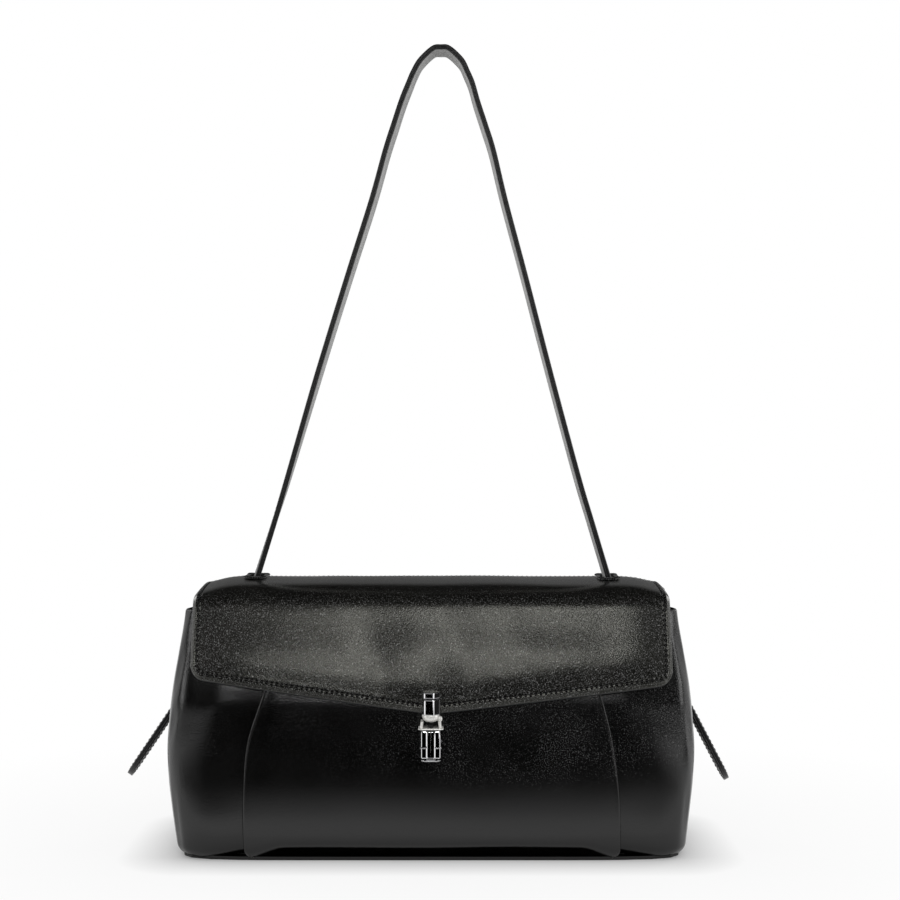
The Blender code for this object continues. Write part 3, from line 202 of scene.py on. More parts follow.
ARCH_TWIST_DEG = (8.0, 5.0, -1.0, -2.5, -3.0, -2.5, -1.0, 0.5, 0.0, -0.5, -1.5, -2.0, -1.5, -1.0, -1.0, -1.0)

# Slots in the flap, the strap's runs inside the body and its tails, with places as X and Z
SLOT_X = 0.1078
SLOT_Z = 0.1595
BINDING_HALF = (0.0055, 0.0152)
BINDING_RADIUS = 0.0015
BINDING_FLAT_share = 0.62
BINDING_PROUD_share = 0.35
BINDING_STATIONS = 40
BINDING_SIDES = 14
WHIP_STITCHES = 30
WHIP_REACH_share = 1.12
RUN_DROP = 0.0035
RUN_END_GAP = 0.006
RUN_STATIONS = 24
TAIL_PIVOT = (0.1578, 0.0822)
TAIL_LENGTH = 0.0500
TAIL_ROOT = 0.007
TAIL_TIP_GAP = 0.0003
TAIL_STATIONS = 44
TAIL_EASING = 3
TAIL_STITCH_ROOT = 0.002
TAIL_SIDE_POINTS = 24
TAIL_TIP_POINTS = 30
LEFT_TAIL_DEG = 34.0
RIGHT_TAIL_DEG = 27.5

# Clasp: barrel and cap turn, the bowl is on the flap, and fork, flange, housing and foot are on the body
CLASP_Y = -0.0676
CLASP_TURN_DEG = -14.0
CLASP_BEVEL = 0.00072
FINE_BEVEL = 0.00030
BEVEL_STEPS = 3
PLATE_BEVEL_share = 0.45
CAP_RADIUS = 0.0056
CAP_Z = (0.0976, 0.1014)
BARREL_RADIUS = 0.0054
BARREL_Z = (0.0880, 0.0972)
BOWL_PROFILE = (
    (0.00001, 0.0885), (0.0046, 0.0885), (0.0050, 0.0881), (0.0051, 0.0873), (0.0049, 0.0865),
    (0.0045, 0.0857), (0.0039, 0.0850), (0.0030, 0.0844), (0.0018, 0.0840), (0.00001, 0.0838),
)
BOWL_SIDES = 28
LUG = ((0.0036, 0.0066), (0.0842, 0.0874), 0.0018)
LUG_BEVEL = 0.0012

# Fork: outer and inner X and the height of each end
FORK_TOP = ((0.0058, 0.0042), 0.0846)
FORK_FOOT = ((0.0063, 0.0046), 0.0809)
FORK_HALF_DEPTH = 0.0050

# Plates: half width, half depth, low and high Z
FLANGE = (0.0073, 0.0056, 0.0801, 0.0809)
FLANGE_CORNER_share = 0.2
FOOT = (0.0056, 0.0053, 0.0620, 0.0629)
FOOT_CORNER_share = 0.3

# Housing: bars as X and half width, rails as low and high past its ends, the upper one without height
HOUSING_HALF = (0.0056, 0.0052)
HOUSING_CORNER = 0.0007
HOUSING_Z = (0.0636, 0.0699, 0.0795)
SHOULDER_STEP = 0.0005
FRAME_BARS = ((-0.0020, 0.00068), (0.0020, 0.00068), (0.0, 0.00026))
FRAME_PROUD = 0.0006
BAR_ENDS = (0.0002, 0.0004)
BAR_BEVEL = 0.00005
RAILS = ((0.0, 0.0009), (-0.0002, -0.0002))
SHOULDER_HEIGHT = 0.0008

# Stitching
STITCH_PITCH = 0.00295
STITCH_LENGTH = 0.0017
STITCH_RADIUS = 0.00030
STITCH_SLANT = 0.16
STITCH_PROBE = 0.0004
RAISED_STITCH_share = 0.25
SUNK_STITCH_share = -0.65
BEAD_RINGS = 7
BEAD_SIDES = 8
BEAD_POWER = 3.0
BEAD_TIP_share = 0.02
FLAP_STITCH_INSET = 0.0042
FLAP_STITCH_END_X = 0.0062
FLAP_SIDE_ROW = 0.5
FLAP_SIDE_POINTS = 90
FLAP_CORNER_POINTS = 20
FLAP_EDGE_POINTS = 120
REAR_SEAM_ROW = 3.2
REAR_SEAM_POINTS = 200
HOLE_RADIUS = 0.00105
HOLE_LIFT = 0.00012
HOLE_LENGTH_share = 0.80
HOLE_SIDES = 10
HOLE_RINGS_share = ((1.0, 0.06), (0.7, 0.10))
STRAP_STITCH_INSET = 0.0024

# Leather grain, and its painted glints: light specks in the base colour that stand in for the grain's
# highlights, shown in patches, and where they fade as less light falls there: axis, share before, share after,
# start and end
PEBBLES_PER_M = 1250.0
PEBBLE_HEIGHT = 0.00019
PEBBLE_POWER = 1.5
PORES_PER_M = 2.6 * PEBBLES_PER_M
PORE_share = 0.25
PAINTED_GLINTS_PER_M = 1.2 * PEBBLES_PER_M
PAINTED_GLINT_CUT = (0.40, 0.80)
PAINTED_GLINT_POWER = 2.6
PAINTED_GLINT_PATCHES_PER_M = 24.0
PAINTED_GLINT_PATCH_CUT = (0.40, 0.62)
SHADES_PER_M = 38.0
SHADE_CUT = (0.35, 0.70)
GLOSS_CUT = (0.3, 0.7)
MOTTLES_PER_M = 420.0
GLOSS_SPREAD = 0.02
BODY_PAINTED_GLINT_FADES = (("X", 0.25, 1.0, -0.05, 0.02), ("Z", 0.0, 1.0, 0.040, 0.062))
FLAP_PAINTED_GLINT_FADES = (("Z", 1.0, 0.25, 0.146, 0.155), ("Y", 1.0, 0.30, 0.0, 0.04))

# Material slots of a sheet
OUTER_SLOT, INNER_SLOT, RIM_SLOT = 0, 1, 2

# Rims: how far along the thickness, and how far out, in shares
ROUND_RIM_share = (
    (0.0, 0.0), (0.06, 0.42), (0.20, 0.80), (0.50, 1.0), (0.80, 0.80), (0.94, 0.42), (1.0, 0.0),
)
PAIR_RIM_share = (
    (0.0, 0.0), (0.04, 0.45), (0.14, 0.85), (0.30, 1.0), (0.46, 0.85), (0.56, 0.45),
    (0.64, 0.80), (0.76, 0.95), (0.90, 0.75), (0.96, 0.40), (1.0, 0.0),
)

# Swells and dents in the leather: X, Z, half sizes along and across, turn in degrees, height
FLAP_SWELLS = (
    (0.066, 0.114, 0.034, 0.017, 0.0, 0.0013),
    (0.018, 0.120, 0.030, 0.010, 108.0, -0.0009),
    (0.046, 0.128, 0.028, 0.013, 108.0, 0.0006),
    (-0.066, 0.138, 0.040, 0.016, -6.0, 0.0004),
    (-0.034, 0.122, 0.032, 0.010, 108.0, -0.0009),
    (-0.008, 0.124, 0.030, 0.011, 108.0, 0.0005),
    (0.100, 0.134, 0.020, 0.018, 0.0, -0.0006),
    (-0.118, 0.120, 0.018, 0.022, 0.0, 0.0005),
)
BODY_SWELLS = (
    (-0.055, 0.094, 0.055, 0.016, 0.0, 0.0005),
    (0.050, 0.094, 0.040, 0.013, -14.0, -0.0008),
    (0.128, 0.090, 0.014, 0.018, 0.0, -0.0010),
    (-0.128, 0.090, 0.016, 0.022, 0.0, 0.0004),
    (-0.130, 0.020, 0.020, 0.018, 0.0, 0.0014),
    (0.132, 0.036, 0.016, 0.022, -20.0, -0.0008),
)

# Stage: the floor's fade round the bag, with painted shade close to its footprint, cards as two corners, and
# lamps as place, width, height and watts
WORLD_LEVEL = 0.64
FLOOR_REACH = 14.0
FOOTPRINT_HALF = (0.140, 0.040, 0.0)
FLOOR_NEAR_share = 0.86
FLOOR_PAINTED_SHADE = (0.002, 0.045)
FLOOR_FADE = (0.04, 0.30)
CARD_FADE = (-0.42, -0.10)
CARD_FADE_power = 5.0
REAR_CARD_LEVEL = (0.9 * 0.17, 1.1 * 0.17)
CARDS = (
    ("floor_card", (-0.38, -2.6, 0.001), (0.30, -0.085, 0.001)),
    ("floor_side_card", (0.44, -0.20, 0.001), (0.90, 0.02, 0.001)),
    ("front_card", (-2.5, -2.6, 0.0), (2.5, -2.6, 2.2)),
    ("overhead_card", (-2.5, -2.6, 2.2), (2.5, 2.6, 2.2)),
    ("left_card", (-2.5, -2.6, 0.0), (-2.5, 0.1, 2.2)),
    ("right_card", (2.5, -2.6, 0.0), (2.5, 0.1, 2.2)),
    ("rear_card", (-1.6, 2.6, 0.15), (1.6, 2.6, 2.2)),
)
LAMPS = (
    ("front_softbox", (0.05, -1.60, 1.04), 4.0, 0.88, 2.8),
    ("core_left", (-0.17, -1.45, 0.58), 0.15, 0.26, 1.0),
    ("core_middle", (-0.04, -1.45, 0.80), 0.10, 0.22, 0.38),
    ("core_low", (0.05, -1.45, 0.48), 0.10, 0.16, 0.22),
    ("core_right", (0.18, -1.45, 0.94), 0.18, 0.30, 1.4),
    ("left_strip", (-1.40, -0.45, 0.62), 0.35, 1.0, 3.0),
    ("right_strip", (1.40, -0.35, 0.62), 0.40, 1.0, 4.0),
    ("rear_left_softbox", (-1.30, 1.20, 0.80), 0.7, 0.9, 4.0),
    ("rear_right_softbox", (1.30, 1.20, 0.80), 0.7, 0.9, 4.0),
)
LAMP_AIM = (0.0, 0.0, 0.12)


def smooth(share):
    share = np.clip(share, 0.0, 1.0)
    return share * share * (3.0 - 2.0 * share)


def between(low, high, share):
    return low + (high - low) * share


def unit(vectors):
    length = np.linalg.norm(vectors, axis=-1, keepdims=True)
    return vectors / np.maximum(length, 1e-12)


def cubic(before, start, end, after, t):
    """A smooth value between start and end, with their neighbours' slope."""
    return 0.5 * (
        2.0 * start + (end - before) * t
        + (2.0 * before - 5.0 * start + 4.0 * end - after) * t * t
        + (3.0 * start - before - 3.0 * end + after) * t ** 3
    )


def through(values, steps):
    """The values with smooth steps between them."""
    marks = np.asarray(values, float)
    marks = np.concatenate([[2.0 * marks[0] - marks[1]], marks, [2.0 * marks[-1] - marks[-2]]])
    run = []
    for k in range(1, len(marks) - 2):
        run += [cubic(*marks[k - 1: k + 3], j / steps) for j in range(steps)]
    run.append(marks[-2])
    return np.array(run)


def looked_up(table, share):
    """A smooth value from a table that is spaced as HEIGHT_share is."""
    marks, table = np.asarray(HEIGHT_share), np.asarray(table)
    place = np.clip(np.searchsorted(marks, share) - 1, 0, len(marks) - 2)
    t = np.clip((share - marks[place]) / (marks[place + 1] - marks[place]), 0.0, 1.0)
    before, start = table[np.maximum(place - 1, 0)], table[place]
    end, after = table[place + 1], table[np.minimum(place + 2, len(table) - 1)]
    return cubic(before, start, end, after, t)


# Materials
def rgba(colour):
    """A colour and its alpha. One number is a grey."""
    return (*colour, 1.0) if isinstance(colour, tuple) else (colour, colour, colour, 1.0)


class Recipe:
    """A material's node tree, with short calls to add and join nodes."""

    def __init__(self, name):
        self.material = bpy.data.materials.new(name)
        self.material.use_nodes = True
        self.tree = self.material.node_tree
        self.shader = self.tree.nodes["Principled BSDF"]
        self.place = self.add("ShaderNodeTexCoord").outputs["Object"]

    def add(self, kind, **values):
        node = self.tree.nodes.new(kind)
        for key, value in values.items():
            setattr(node, key, value)
        return node

    def join(self, output, node, socket):
        self.tree.links.new(output, node.inputs[socket])

    def noise(self, scale, detail=3.0, roughness=0.5):
        node = self.add("ShaderNodeTexNoise")
        node.inputs["Scale"].default_value = scale
        node.inputs["Detail"].default_value = detail
        node.inputs["Roughness"].default_value = roughness
        self.join(self.place, node, "Vector")
        return node.outputs["Fac"]

    def cells(self, scale):
        node = self.add("ShaderNodeTexVoronoi")
        node.inputs["Scale"].default_value = scale
        self.join(self.place, node, "Vector")
        return node.outputs["Distance"]

    def maths(self, operation, first, second=0.0):
        node = self.add("ShaderNodeMath", operation=operation)
        for socket, value in enumerate((first, second)):
            if isinstance(value, bpy.types.NodeSocket):
                self.join(value, node, socket)
            else:
                node.inputs[socket].default_value = value
        return node.outputs[0]

    def span(self, value, low, high, from_low=0.0, from_high=1.0):
        node = self.add("ShaderNodeMapRange")
        for socket, number in zip((1, 2, 3, 4), (from_low, from_high, low, high)):
            node.inputs[socket].default_value = number
        self.join(value, node, 0)
        return node.outputs[0]

    def mixed(self, value, low, high):
        node = self.add("ShaderNodeMix", data_type="RGBA")
        node.inputs["A"].default_value = rgba(low)
        node.inputs["B"].default_value = rgba(high)
        self.join(value, node, "Factor")
        return node.outputs["Result"]

    def lighter(self, colour, value, most):
        """The colour with grey added, as much as the value says."""
        node = self.add("ShaderNodeMix", data_type="RGBA", blend_type="ADD")
        node.clamp_result = True
        self.join(colour, node, "A")
        node.inputs["B"].default_value = rgba(most)
        self.join(value, node, "Factor")
        return node.outputs["Result"]

    def bump(self, height, strength, distance):
        node = self.add("ShaderNodeBump")
        node.inputs["Strength"].default_value = strength
        node.inputs["Distance"].default_value = distance
        self.join(height, node, "Height")
        self.join(node.outputs["Normal"], self.shader, "Normal")

    def paint(self, value, dark, light):
        self.join(self.mixed(value, dark, light), self.shader, "Base Color")

    def roughen(self, value, low, high):
        self.join(self.span(value, low, high), self.shader, "Roughness")

    def glow(self, level):
        """The material only gives light, as strong as the level says."""
        light = self.add("ShaderNodeEmission")
        self.join(level, light, "Strength")
        self.join(light.outputs[0], self.tree.nodes["Material Output"], "Surface")

    def set(self, **values):
        for key, value in values.items():
            self.shader.inputs[key.replace("_", " ")].default_value = value


def plain(name, grain, dark, light, rough, bump=None, **looks):
    """A simple finish: one noise moves its colour, and its roughness where that is a span."""
    made = Recipe(name)
    haze = made.noise(*grain)
    if bump:
        made.bump(haze, *bump)
    if isinstance(rough, tuple):
        made.roughen(haze, *rough)
    else:
        made.set(Roughness=rough)
    made.paint(haze, dark, light)
    made.set(**looks)
    return made.material


def leather(name, dark, light, rough, grain, tint=1.0, painted_glint_level=0.0, painted_glint_patches=(1.0, 1.0), painted_glint_fades=()):
    """Fine grained leather: small rounded pebbles, finer pores, painted glints as light specks in the base
    colour, shown in patches and faded where less light falls, and slow changes in gloss.
    """
    made = Recipe(name)
    pebbles = made.maths("POWER", made.cells(PEBBLES_PER_M), PEBBLE_POWER)
    pores = made.maths("MULTIPLY", made.noise(PORES_PER_M, 2.0), PORE_share)
    made.bump(made.maths("ADD", made.maths("MULTIPLY", pebbles, -1.0), pores), 1.0, PEBBLE_HEIGHT * grain)
    # Painted glints: grey added to the base colour in specks, only in some patches and faded by place, for the
    # highlights on the grain.
    painted_glint = made.maths("POWER", made.span(made.noise(PAINTED_GLINTS_PER_M, 1.0), 0.0, 1.0, *PAINTED_GLINT_CUT), PAINTED_GLINT_POWER)
    painted_glint = made.maths("MULTIPLY", painted_glint, made.span(made.noise(PAINTED_GLINT_PATCHES_PER_M, 2.0), *painted_glint_patches, *PAINTED_GLINT_PATCH_CUT))
    places = made.add("ShaderNodeSeparateXYZ")
    made.join(made.place, places, 0)
    for axis, before, after, start, end in painted_glint_fades:
        painted_glint = made.maths("MULTIPLY", painted_glint, made.span(places.outputs[axis], before, after, start, end))
    slow = made.noise(SHADES_PER_M)
    shade = made.mixed(made.span(slow, 0.0, 1.0, *SHADE_CUT), dark, light)
    made.join(made.lighter(shade, painted_glint, painted_glint_level), made.shader, "Base Color")
    gloss = made.span(slow, rough - GLOSS_SPREAD, rough + GLOSS_SPREAD, *GLOSS_CUT)
    mottled = made.span(made.noise(MOTTLES_PER_M), -GLOSS_SPREAD, GLOSS_SPREAD)
    made.join(made.maths("ADD", gloss, mottled), made.shader, "Roughness")
    made.set(Specular_Tint=rgba(tint))
    return made.material


def edge_paint():
    """The thick paint on cut edges, a little lumpy."""
    made = Recipe("edge_paint")
    lumps = made.noise(900.0)
    made.bump(lumps, 0.25, 0.0003)
    made.roughen(lumps, 0.30, 0.42)
    made.paint(made.noise(160.0), 0.003, 0.006)
    return made.material


def split_leather():
    """The strap's pale inner face: a short matt nap."""
    made = Recipe("split_leather")
    fibres = made.noise(2600.0, 4.0, 0.65)
    patches = made.noise(90.0)
    made.bump(fibres, 0.5, 0.0003)
    shade = made.maths("ADD", made.span(fibres, 0.0, 0.4), made.span(patches, 0.0, 0.6, 0.3, 0.7))
    made.paint(shade, (0.27, 0.27, 0.265), (0.44, 0.44, 0.435))
    made.set(Roughness=0.72, Specular_IOR_Level=0.3, Sheen_Weight=0.15, Sheen_Roughness=0.5)
    return made.material


def cloth():
    """A close dark twill."""
    made = Recipe("lining_cloth")
    ribs = made.add("ShaderNodeTexWave", wave_type="BANDS", bands_direction="DIAGONAL")
    ribs.inputs["Scale"].default_value = 420.0
    ribs.inputs["Distortion"].default_value = 1.2
    made.join(made.place, ribs, "Vector")
    made.bump(ribs.outputs["Fac"], 0.5, 0.0003)
    made.paint(ribs.outputs["Fac"], (0.022, 0.021, 0.020), (0.060, 0.057, 0.054))
    made.set(Roughness=0.85, Sheen_Weight=0.25, Sheen_Roughness=0.4, Specular_IOR_Level=0.25)
    return made.material


def thread():
    """Waxed thread, with a fine twist and slow changes in colour."""
    made = Recipe("thread")
    made.bump(made.noise(5200.0, 2.0), 0.4, 0.0001)
    made.paint(made.noise(700.0), 0.006, (0.016, 0.015, 0.014))
    made.set(Roughness=0.42)
    return made.material


def chrome():
    """Mirror chrome with a faint haze and upright polishing scratches."""
    made = Recipe("clasp_chrome")
    haze = made.noise(300.0)
    scratches = made.add("ShaderNodeTexNoise")
    scratches.inputs["Scale"].default_value = 900.0
    stretch = made.add("ShaderNodeMapping")
    stretch.inputs["Scale"].default_value = (1.0, 1.0, 0.05)
    made.join(made.place, stretch, "Vector")
    made.join(stretch.outputs["Vector"], scratches, "Vector")
    made.bump(scratches.outputs["Fac"], 0.03, 0.0001)
    made.roughen(haze, 0.03, 0.06)
    made.paint(haze, (0.80, 0.80, 0.82), (0.90, 0.90, 0.91))
    made.set(Metallic=1.0)
    return made.material


LEATHER = leather(
    "black_leather", (0.0016, 0.0016, 0.0015), (0.0028, 0.0028, 0.0027), 0.17, 0.25,
    painted_glint_level=0.115, painted_glint_patches=(0.30, 1.0), painted_glint_fades=BODY_PAINTED_GLINT_FADES,
)
# The flap's lit copy of the black leather: a lighter base and twice the painted glints, for the light the flap
# catches.
FLAP_LEATHER_PAINTED_LIT = leather(
    "flap_leather", (0.0030, 0.0030, 0.0025), (0.0050, 0.0049, 0.0041), 0.19, 0.25,
    tint=(1.0, 1.0, 0.90), painted_glint_level=0.240, painted_glint_fades=FLAP_PAINTED_GLINT_FADES,
)
STRAP_LEATHER = leather("strap_leather", (0.0045, 0.0043, 0.0042), (0.0080, 0.0078, 0.0075), 0.36, 0.6)
EDGE = edge_paint()
SPLIT = split_leather()
CLOTH = cloth()
THREAD = thread()
# Painted shade: near black discs that barely reflect, for the shadow inside each stitch hole.
HOLE_PAINTED_SHADE = plain("needle_hole_painted_shade", (900.0,), 0.0010, (0.0022, 0.0021, 0.0020), 0.95, Specular_IOR_Level=0.05)
BOARD = plain("base_board", (1300.0, 4.0), 0.010, (0.022, 0.022, 0.021), 0.9, bump=(0.3, 0.0002))
CHROME = chrome()
# Satin: partly a half-metal finish, partly painted reflection, as its pale diffuse colour shows the white that
# chrome would reflect there.
SATIN_PAINTED_REFLECTION = plain("clasp_satin_painted_reflection", (400.0,), (0.78, 0.77, 0.74), (0.90, 0.89, 0.86), (0.22, 0.32), Metallic=0.35)
STEEL = plain("plain_steel", (500.0,), (0.46, 0.46, 0.47), (0.60, 0.60, 0.61), (0.24, 0.38), Metallic=1.0)
# Painted shade: near black steel on the clasp's key and bracket, for the dark between the fork's legs.
STEEL_PAINTED_SHADE = plain("steel_painted_shade", (500.0,), 0.008, 0.016, (0.30, 0.42), Specular_IOR_Level=0.3)
CARD_BLACK = plain("black_card", (20.0,), 0.010, 0.014, 0.95, Specular_IOR_Level=0.0)


# Meshes
def linked(name, data):
    obj = bpy.data.objects.new(name, data)
    bpy.context.scene.collection.objects.link(obj)
    return obj


def made_object(name, points, faces, materials, indices=None):
    """A smooth mesh. Where no material indices are given, it has one material."""
    mesh = bpy.data.meshes.new(name)
    mesh.from_pydata([tuple(p) for p in points], [], [tuple(int(i) for i in f) for f in faces])
    for each in materials:
        mesh.materials.append(each)
    if indices is not None:
        mesh.polygons.foreach_set("material_index", [int(i) for i in indices])
    mesh.polygons.foreach_set("use_smooth", [True] * len(mesh.polygons))
    mesh.update()
    return linked(name, mesh)


def grid_normals(grid, closed=False):
    """Outward unit normals of a grid of rows by columns."""
    if closed:
        across = np.roll(grid, -1, axis=1) - np.roll(grid, 1, axis=1)
    else:
        across = np.gradient(grid, axis=1)
    along = np.gradient(grid, axis=0)
    normals = unit(np.cross(across, along))
    if np.sum(normals * (grid - BODY_CENTRE)) < 0.0:
        normals = -normals
    return normals


def grid_faces(rows, columns, start, closed, flip):
    r = np.arange(rows - 1)[:, None]
    c = np.arange(columns if closed else columns - 1)[None, :]
    ahead = (c + 1) % columns
    quad = np.stack([
        r * columns + c, r * columns + ahead, (r + 1) * columns + ahead, (r + 1) * columns + c
    ], axis=-1) + start
    quad = quad.reshape(-1, 4)
    return quad[:, ::-1] if flip else quad


def ring_faces(rings, around):
    """Faces between closed rings of points."""
    return grid_faces(rings, around, 0, True, False)[:, (0, 3, 2, 1)]


def eased(line, times):
    """Moves each inner row half way to the middle of its neighbours, so many times over."""
    for _ in range(times):
        line[1:-1] = 0.5 * line[1:-1] + 0.25 * (line[2:] + line[:-2])


def rim_loops(rows, columns, closed):
    if closed:
        every = np.arange(columns)
        return [every, (rows - 1) * columns + every]
    low = np.arange(columns)
    right = np.arange(1, rows) * columns + columns - 1
    top = (rows - 1) * columns + np.arange(columns - 2, -1, -1)
    left = np.arange(rows - 2, 0, -1) * columns
    return [np.concatenate([low, right, top, left])]


def outward_of(grid, closed):
    """For each point of a grid, the way out across its nearest border."""
    rows, columns = grid.shape[:2]
    out = np.zeros_like(grid)
    out[0] += unit(grid[0] - grid[1])
    out[-1] += unit(grid[-1] - grid[-2])
    if not closed:
        out[:, 0] += unit(grid[:, 0] - grid[:, 1])
        out[:, -1] += unit(grid[:, -1] - grid[:, -2])
    return unit(out)


def shell(name, grid, thickness, materials, rim=ROUND_RIM_share, closed=False, inner_index=None):
    """A soft sheet with a shaped rim: the grid is its outer face, and it is thickened inwards."""
    rows, columns = grid.shape[:2]
    normals = grid_normals(grid, closed)
    inner = grid - normals * thickness
    out = outward_of(grid, closed).reshape(-1, 3)
    flat, under = grid.reshape(-1, 3), inner.reshape(-1, 3)
    count = rows * columns
    across = grid[0, 1] - grid[0, 0]
    along = grid[1, 0] - grid[0, 0]
    flip = np.dot(np.cross(across, along), normals[0, 0]) < 0.0
    points = [flat, under]
    outer_faces = grid_faces(rows, columns, 0, closed, flip)
    inner_faces = grid_faces(rows, columns, count, closed, not flip)
    faces = [outer_faces, inner_faces]
    inner_slots = np.full(len(inner_faces), INNER_SLOT) if inner_index is None else inner_index.reshape(-1)
    slots = [np.full(len(outer_faces), OUTER_SLOT), inner_slots]
    total = 2 * count
    for number, loop in enumerate(rim_loops(rows, columns, closed)):
        size = len(loop)
        rings = [loop]
        for through_share, out_share in rim[1:-1]:
            place = between(flat[loop], under[loop], through_share)
            points.append(place + out[loop] * (0.5 * thickness * out_share))
            rings.append(total + np.arange(size))
            total += size
        rings.append(loop + count)
        for first, second in zip(rings, rings[1:]):
            quad = np.stack([first, second, np.roll(second, -1), np.roll(first, -1)], axis=-1)
            turned = flip if number == 0 else not flip
            faces.append(quad[:, ::-1] if turned else quad)
            slots.append(np.full(size, RIM_SLOT))
    return made_object(name, np.concatenate(points), np.concatenate(faces), materials, np.concatenate(slots))


def swelled(grid, normals, table):
    """The grid with the swells and dents of a table."""
    lift = np.zeros(grid.shape[:2])
    for x, z, along, across, turn_deg, height in table:
        turn = math.radians(turn_deg)
        away_x, away_z = grid[..., 0] - x, grid[..., 2] - z
        first = (away_x * math.cos(turn) + away_z * math.sin(turn)) / along
        second = (away_z * math.cos(turn) - away_x * math.sin(turn)) / across
        lift = lift + height * np.exp(-first ** 2 - second ** 2)
    return grid + normals * lift[..., None]


def rippled(grid, depth, size, seed, closed=False):
    """The grid with slow ripples all over, as soft leather has."""
    offset = Vector((seed, 2.0 * seed, 3.0 * seed))
    lift = np.array([noise.noise(Vector(p) / size + offset) for p in grid.reshape(-1, 3)])
    return grid + grid_normals(grid, closed) * (depth * lift.reshape(grid.shape[:2]))[..., None]


# Body
def body_size(z, front, front_table=FRONT_DEPTH_share):
    """Half width and half depth of the walls at a height."""
    share = z / BACK_EDGE_Z
    depth = np.where(front, looked_up(front_table, share), looked_up(BACK_DEPTH_share, share))
    return BODY_HALF_WIDTH * looked_up(WIDTH_share, share), BODY_HALF_DEPTH * depth


def body_point(turn_deg, z, inset):
    """Points on the body wall: the turn runs from the front middle towards +X."""
    turn = np.radians(turn_deg)
    across, along = np.sin(turn), -np.cos(turn)
    width, depth = body_size(z, along < 0.0, BODY_FRONT_DEPTH_share)
    reach = (np.abs(across) ** PLAN_POWER + np.abs(along) ** PLAN_POWER) ** (-1.0 / PLAN_POWER)
    x = (width - inset) * reach * across
    y = (depth - inset) * reach * along
    rise = smooth((z - FOLD_START_Z) / (FRONT_EDGE_Z - FOLD_START_Z))
    fold = FOLD_DEPTH * rise * (1.0 - smooth(np.abs(y) / depth))
    fold = fold * smooth(np.abs(across) / np.maximum(np.abs(along), 1e-6) - 1.0)
    x = x - np.copysign(fold, x)
    return np.stack([x, y, z + 0.0 * x], axis=-1)


def wall_depth(x, z, front):
    """How far the front or the back wall stands from the middle plane."""
    width, depth = body_size(z, front)
    return depth * (1.0 - np.minimum(np.abs(x) / width, 1.0) ** PLAN_POWER) ** (1.0 / PLAN_POWER)


def tuck_turn(table, z):
    """The turn, in degrees, at which a tuck's fold lies at a height."""
    x = np.interp(z, through(TUCK_Z, TUCK_STEPS), through(table, TUCK_STEPS))
    width = body_size(z, True)[0]
    return np.degrees(np.arctan(x / width))


def foot_lift(inside, middle, fold):
    """How far the front's foot stands above the base: most in the middle, least at the tucks' inner sides."""
    inner = between(FOOT_INNER_share, 1.0, smooth(inside / FOOT_INNER_RUN))
    outer = FOOT_OUTER_share * (1.0 - smooth(-inside / FOOT_OUTER_RUN))
    past = smooth(((np.arange(len(inside)) - middle) / fold - FOOT_FOLD_share) / FOOT_EASE_share)
    return FOOT_LIFT * between(inner, outer, past)


def body_wall():
    """The whole wall as rows of points, with its tucks, seams and the roll at its foot."""
    under = np.linspace(0.0, 0.5 * math.pi, TURN_ROWS)
    turn_z, turn_inset = TURN_UNDER * (1.0 - np.cos(under)), TURN_UNDER * (1.0 - np.sin(under))
    upright = np.linspace(0.0, 1.0, BODY_ROWS)[1:]
    fold_out, fold_in = through(FOLD_OUT, FOLD_STEPS), through(FOLD_IN, FOLD_STEPS)
    middle = np.linspace(0.0, 1.0, MIDDLE_COLUMNS)[:-1]
    rest = np.linspace(0.0, 1.0, REST_COLUMNS)[1:]
    halves = []
    for side, table in ((-1.0, TUCK_LEFT_X), (1.0, TUCK_RIGHT_X)):
        rows = []
        for k in range(TURN_ROWS + BODY_ROWS - 1):
            if k < TURN_ROWS:
                z_mark, inset, upright_share = turn_z[k], turn_inset[k], 0.0
            else:
                upright_share = upright[k - TURN_ROWS]
                z_mark, inset = between(TURN_UNDER, FRONT_EDGE_Z, upright_share), 0.0
            fold = tuck_turn(table, np.array(z_mark))
            half_width = body_size(np.array(z_mark), True)[0]
            scale = math.degrees(1.0 / half_width) * math.cos(math.radians(fold)) ** 2
            start, end = fold + fold_out[0] * scale, fold + fold_out[-1] * scale
            turns = np.concatenate([middle * start, fold + fold_out * scale, between(end, 180.0, rest)])
            sunk = np.concatenate([0.0 * middle, fold_in, 0.0 * rest])
            lift = foot_lift((fold - turns) / scale, len(middle), len(fold_out))
            seam = np.exp(-((turns - SEAM_DEG) / SEAM_WIDTH_DEG) ** 2)
            seam = seam + np.exp(-((turns - 180.0 + SEAM_DEG) / SEAM_WIDTH_DEG) ** 2)
            top = between(FRONT_EDGE_Z, BACK_EDGE_Z, smooth((turns - SEAM_DEG) / (180.0 - 2.0 * SEAM_DEG)))
            if k < TURN_ROWS:
                z = z_mark + lift * min(k, 1)
            else:
                z = between(TURN_UNDER + lift, top, upright_share)
            rows.append(body_point(side * turns, z, inset + sunk + SEAM_SINK * seam))
        halves.append(np.array(rows))
    left, right = halves
    return np.concatenate([left[:, :0:-1], right[:, :-1]], axis=1)


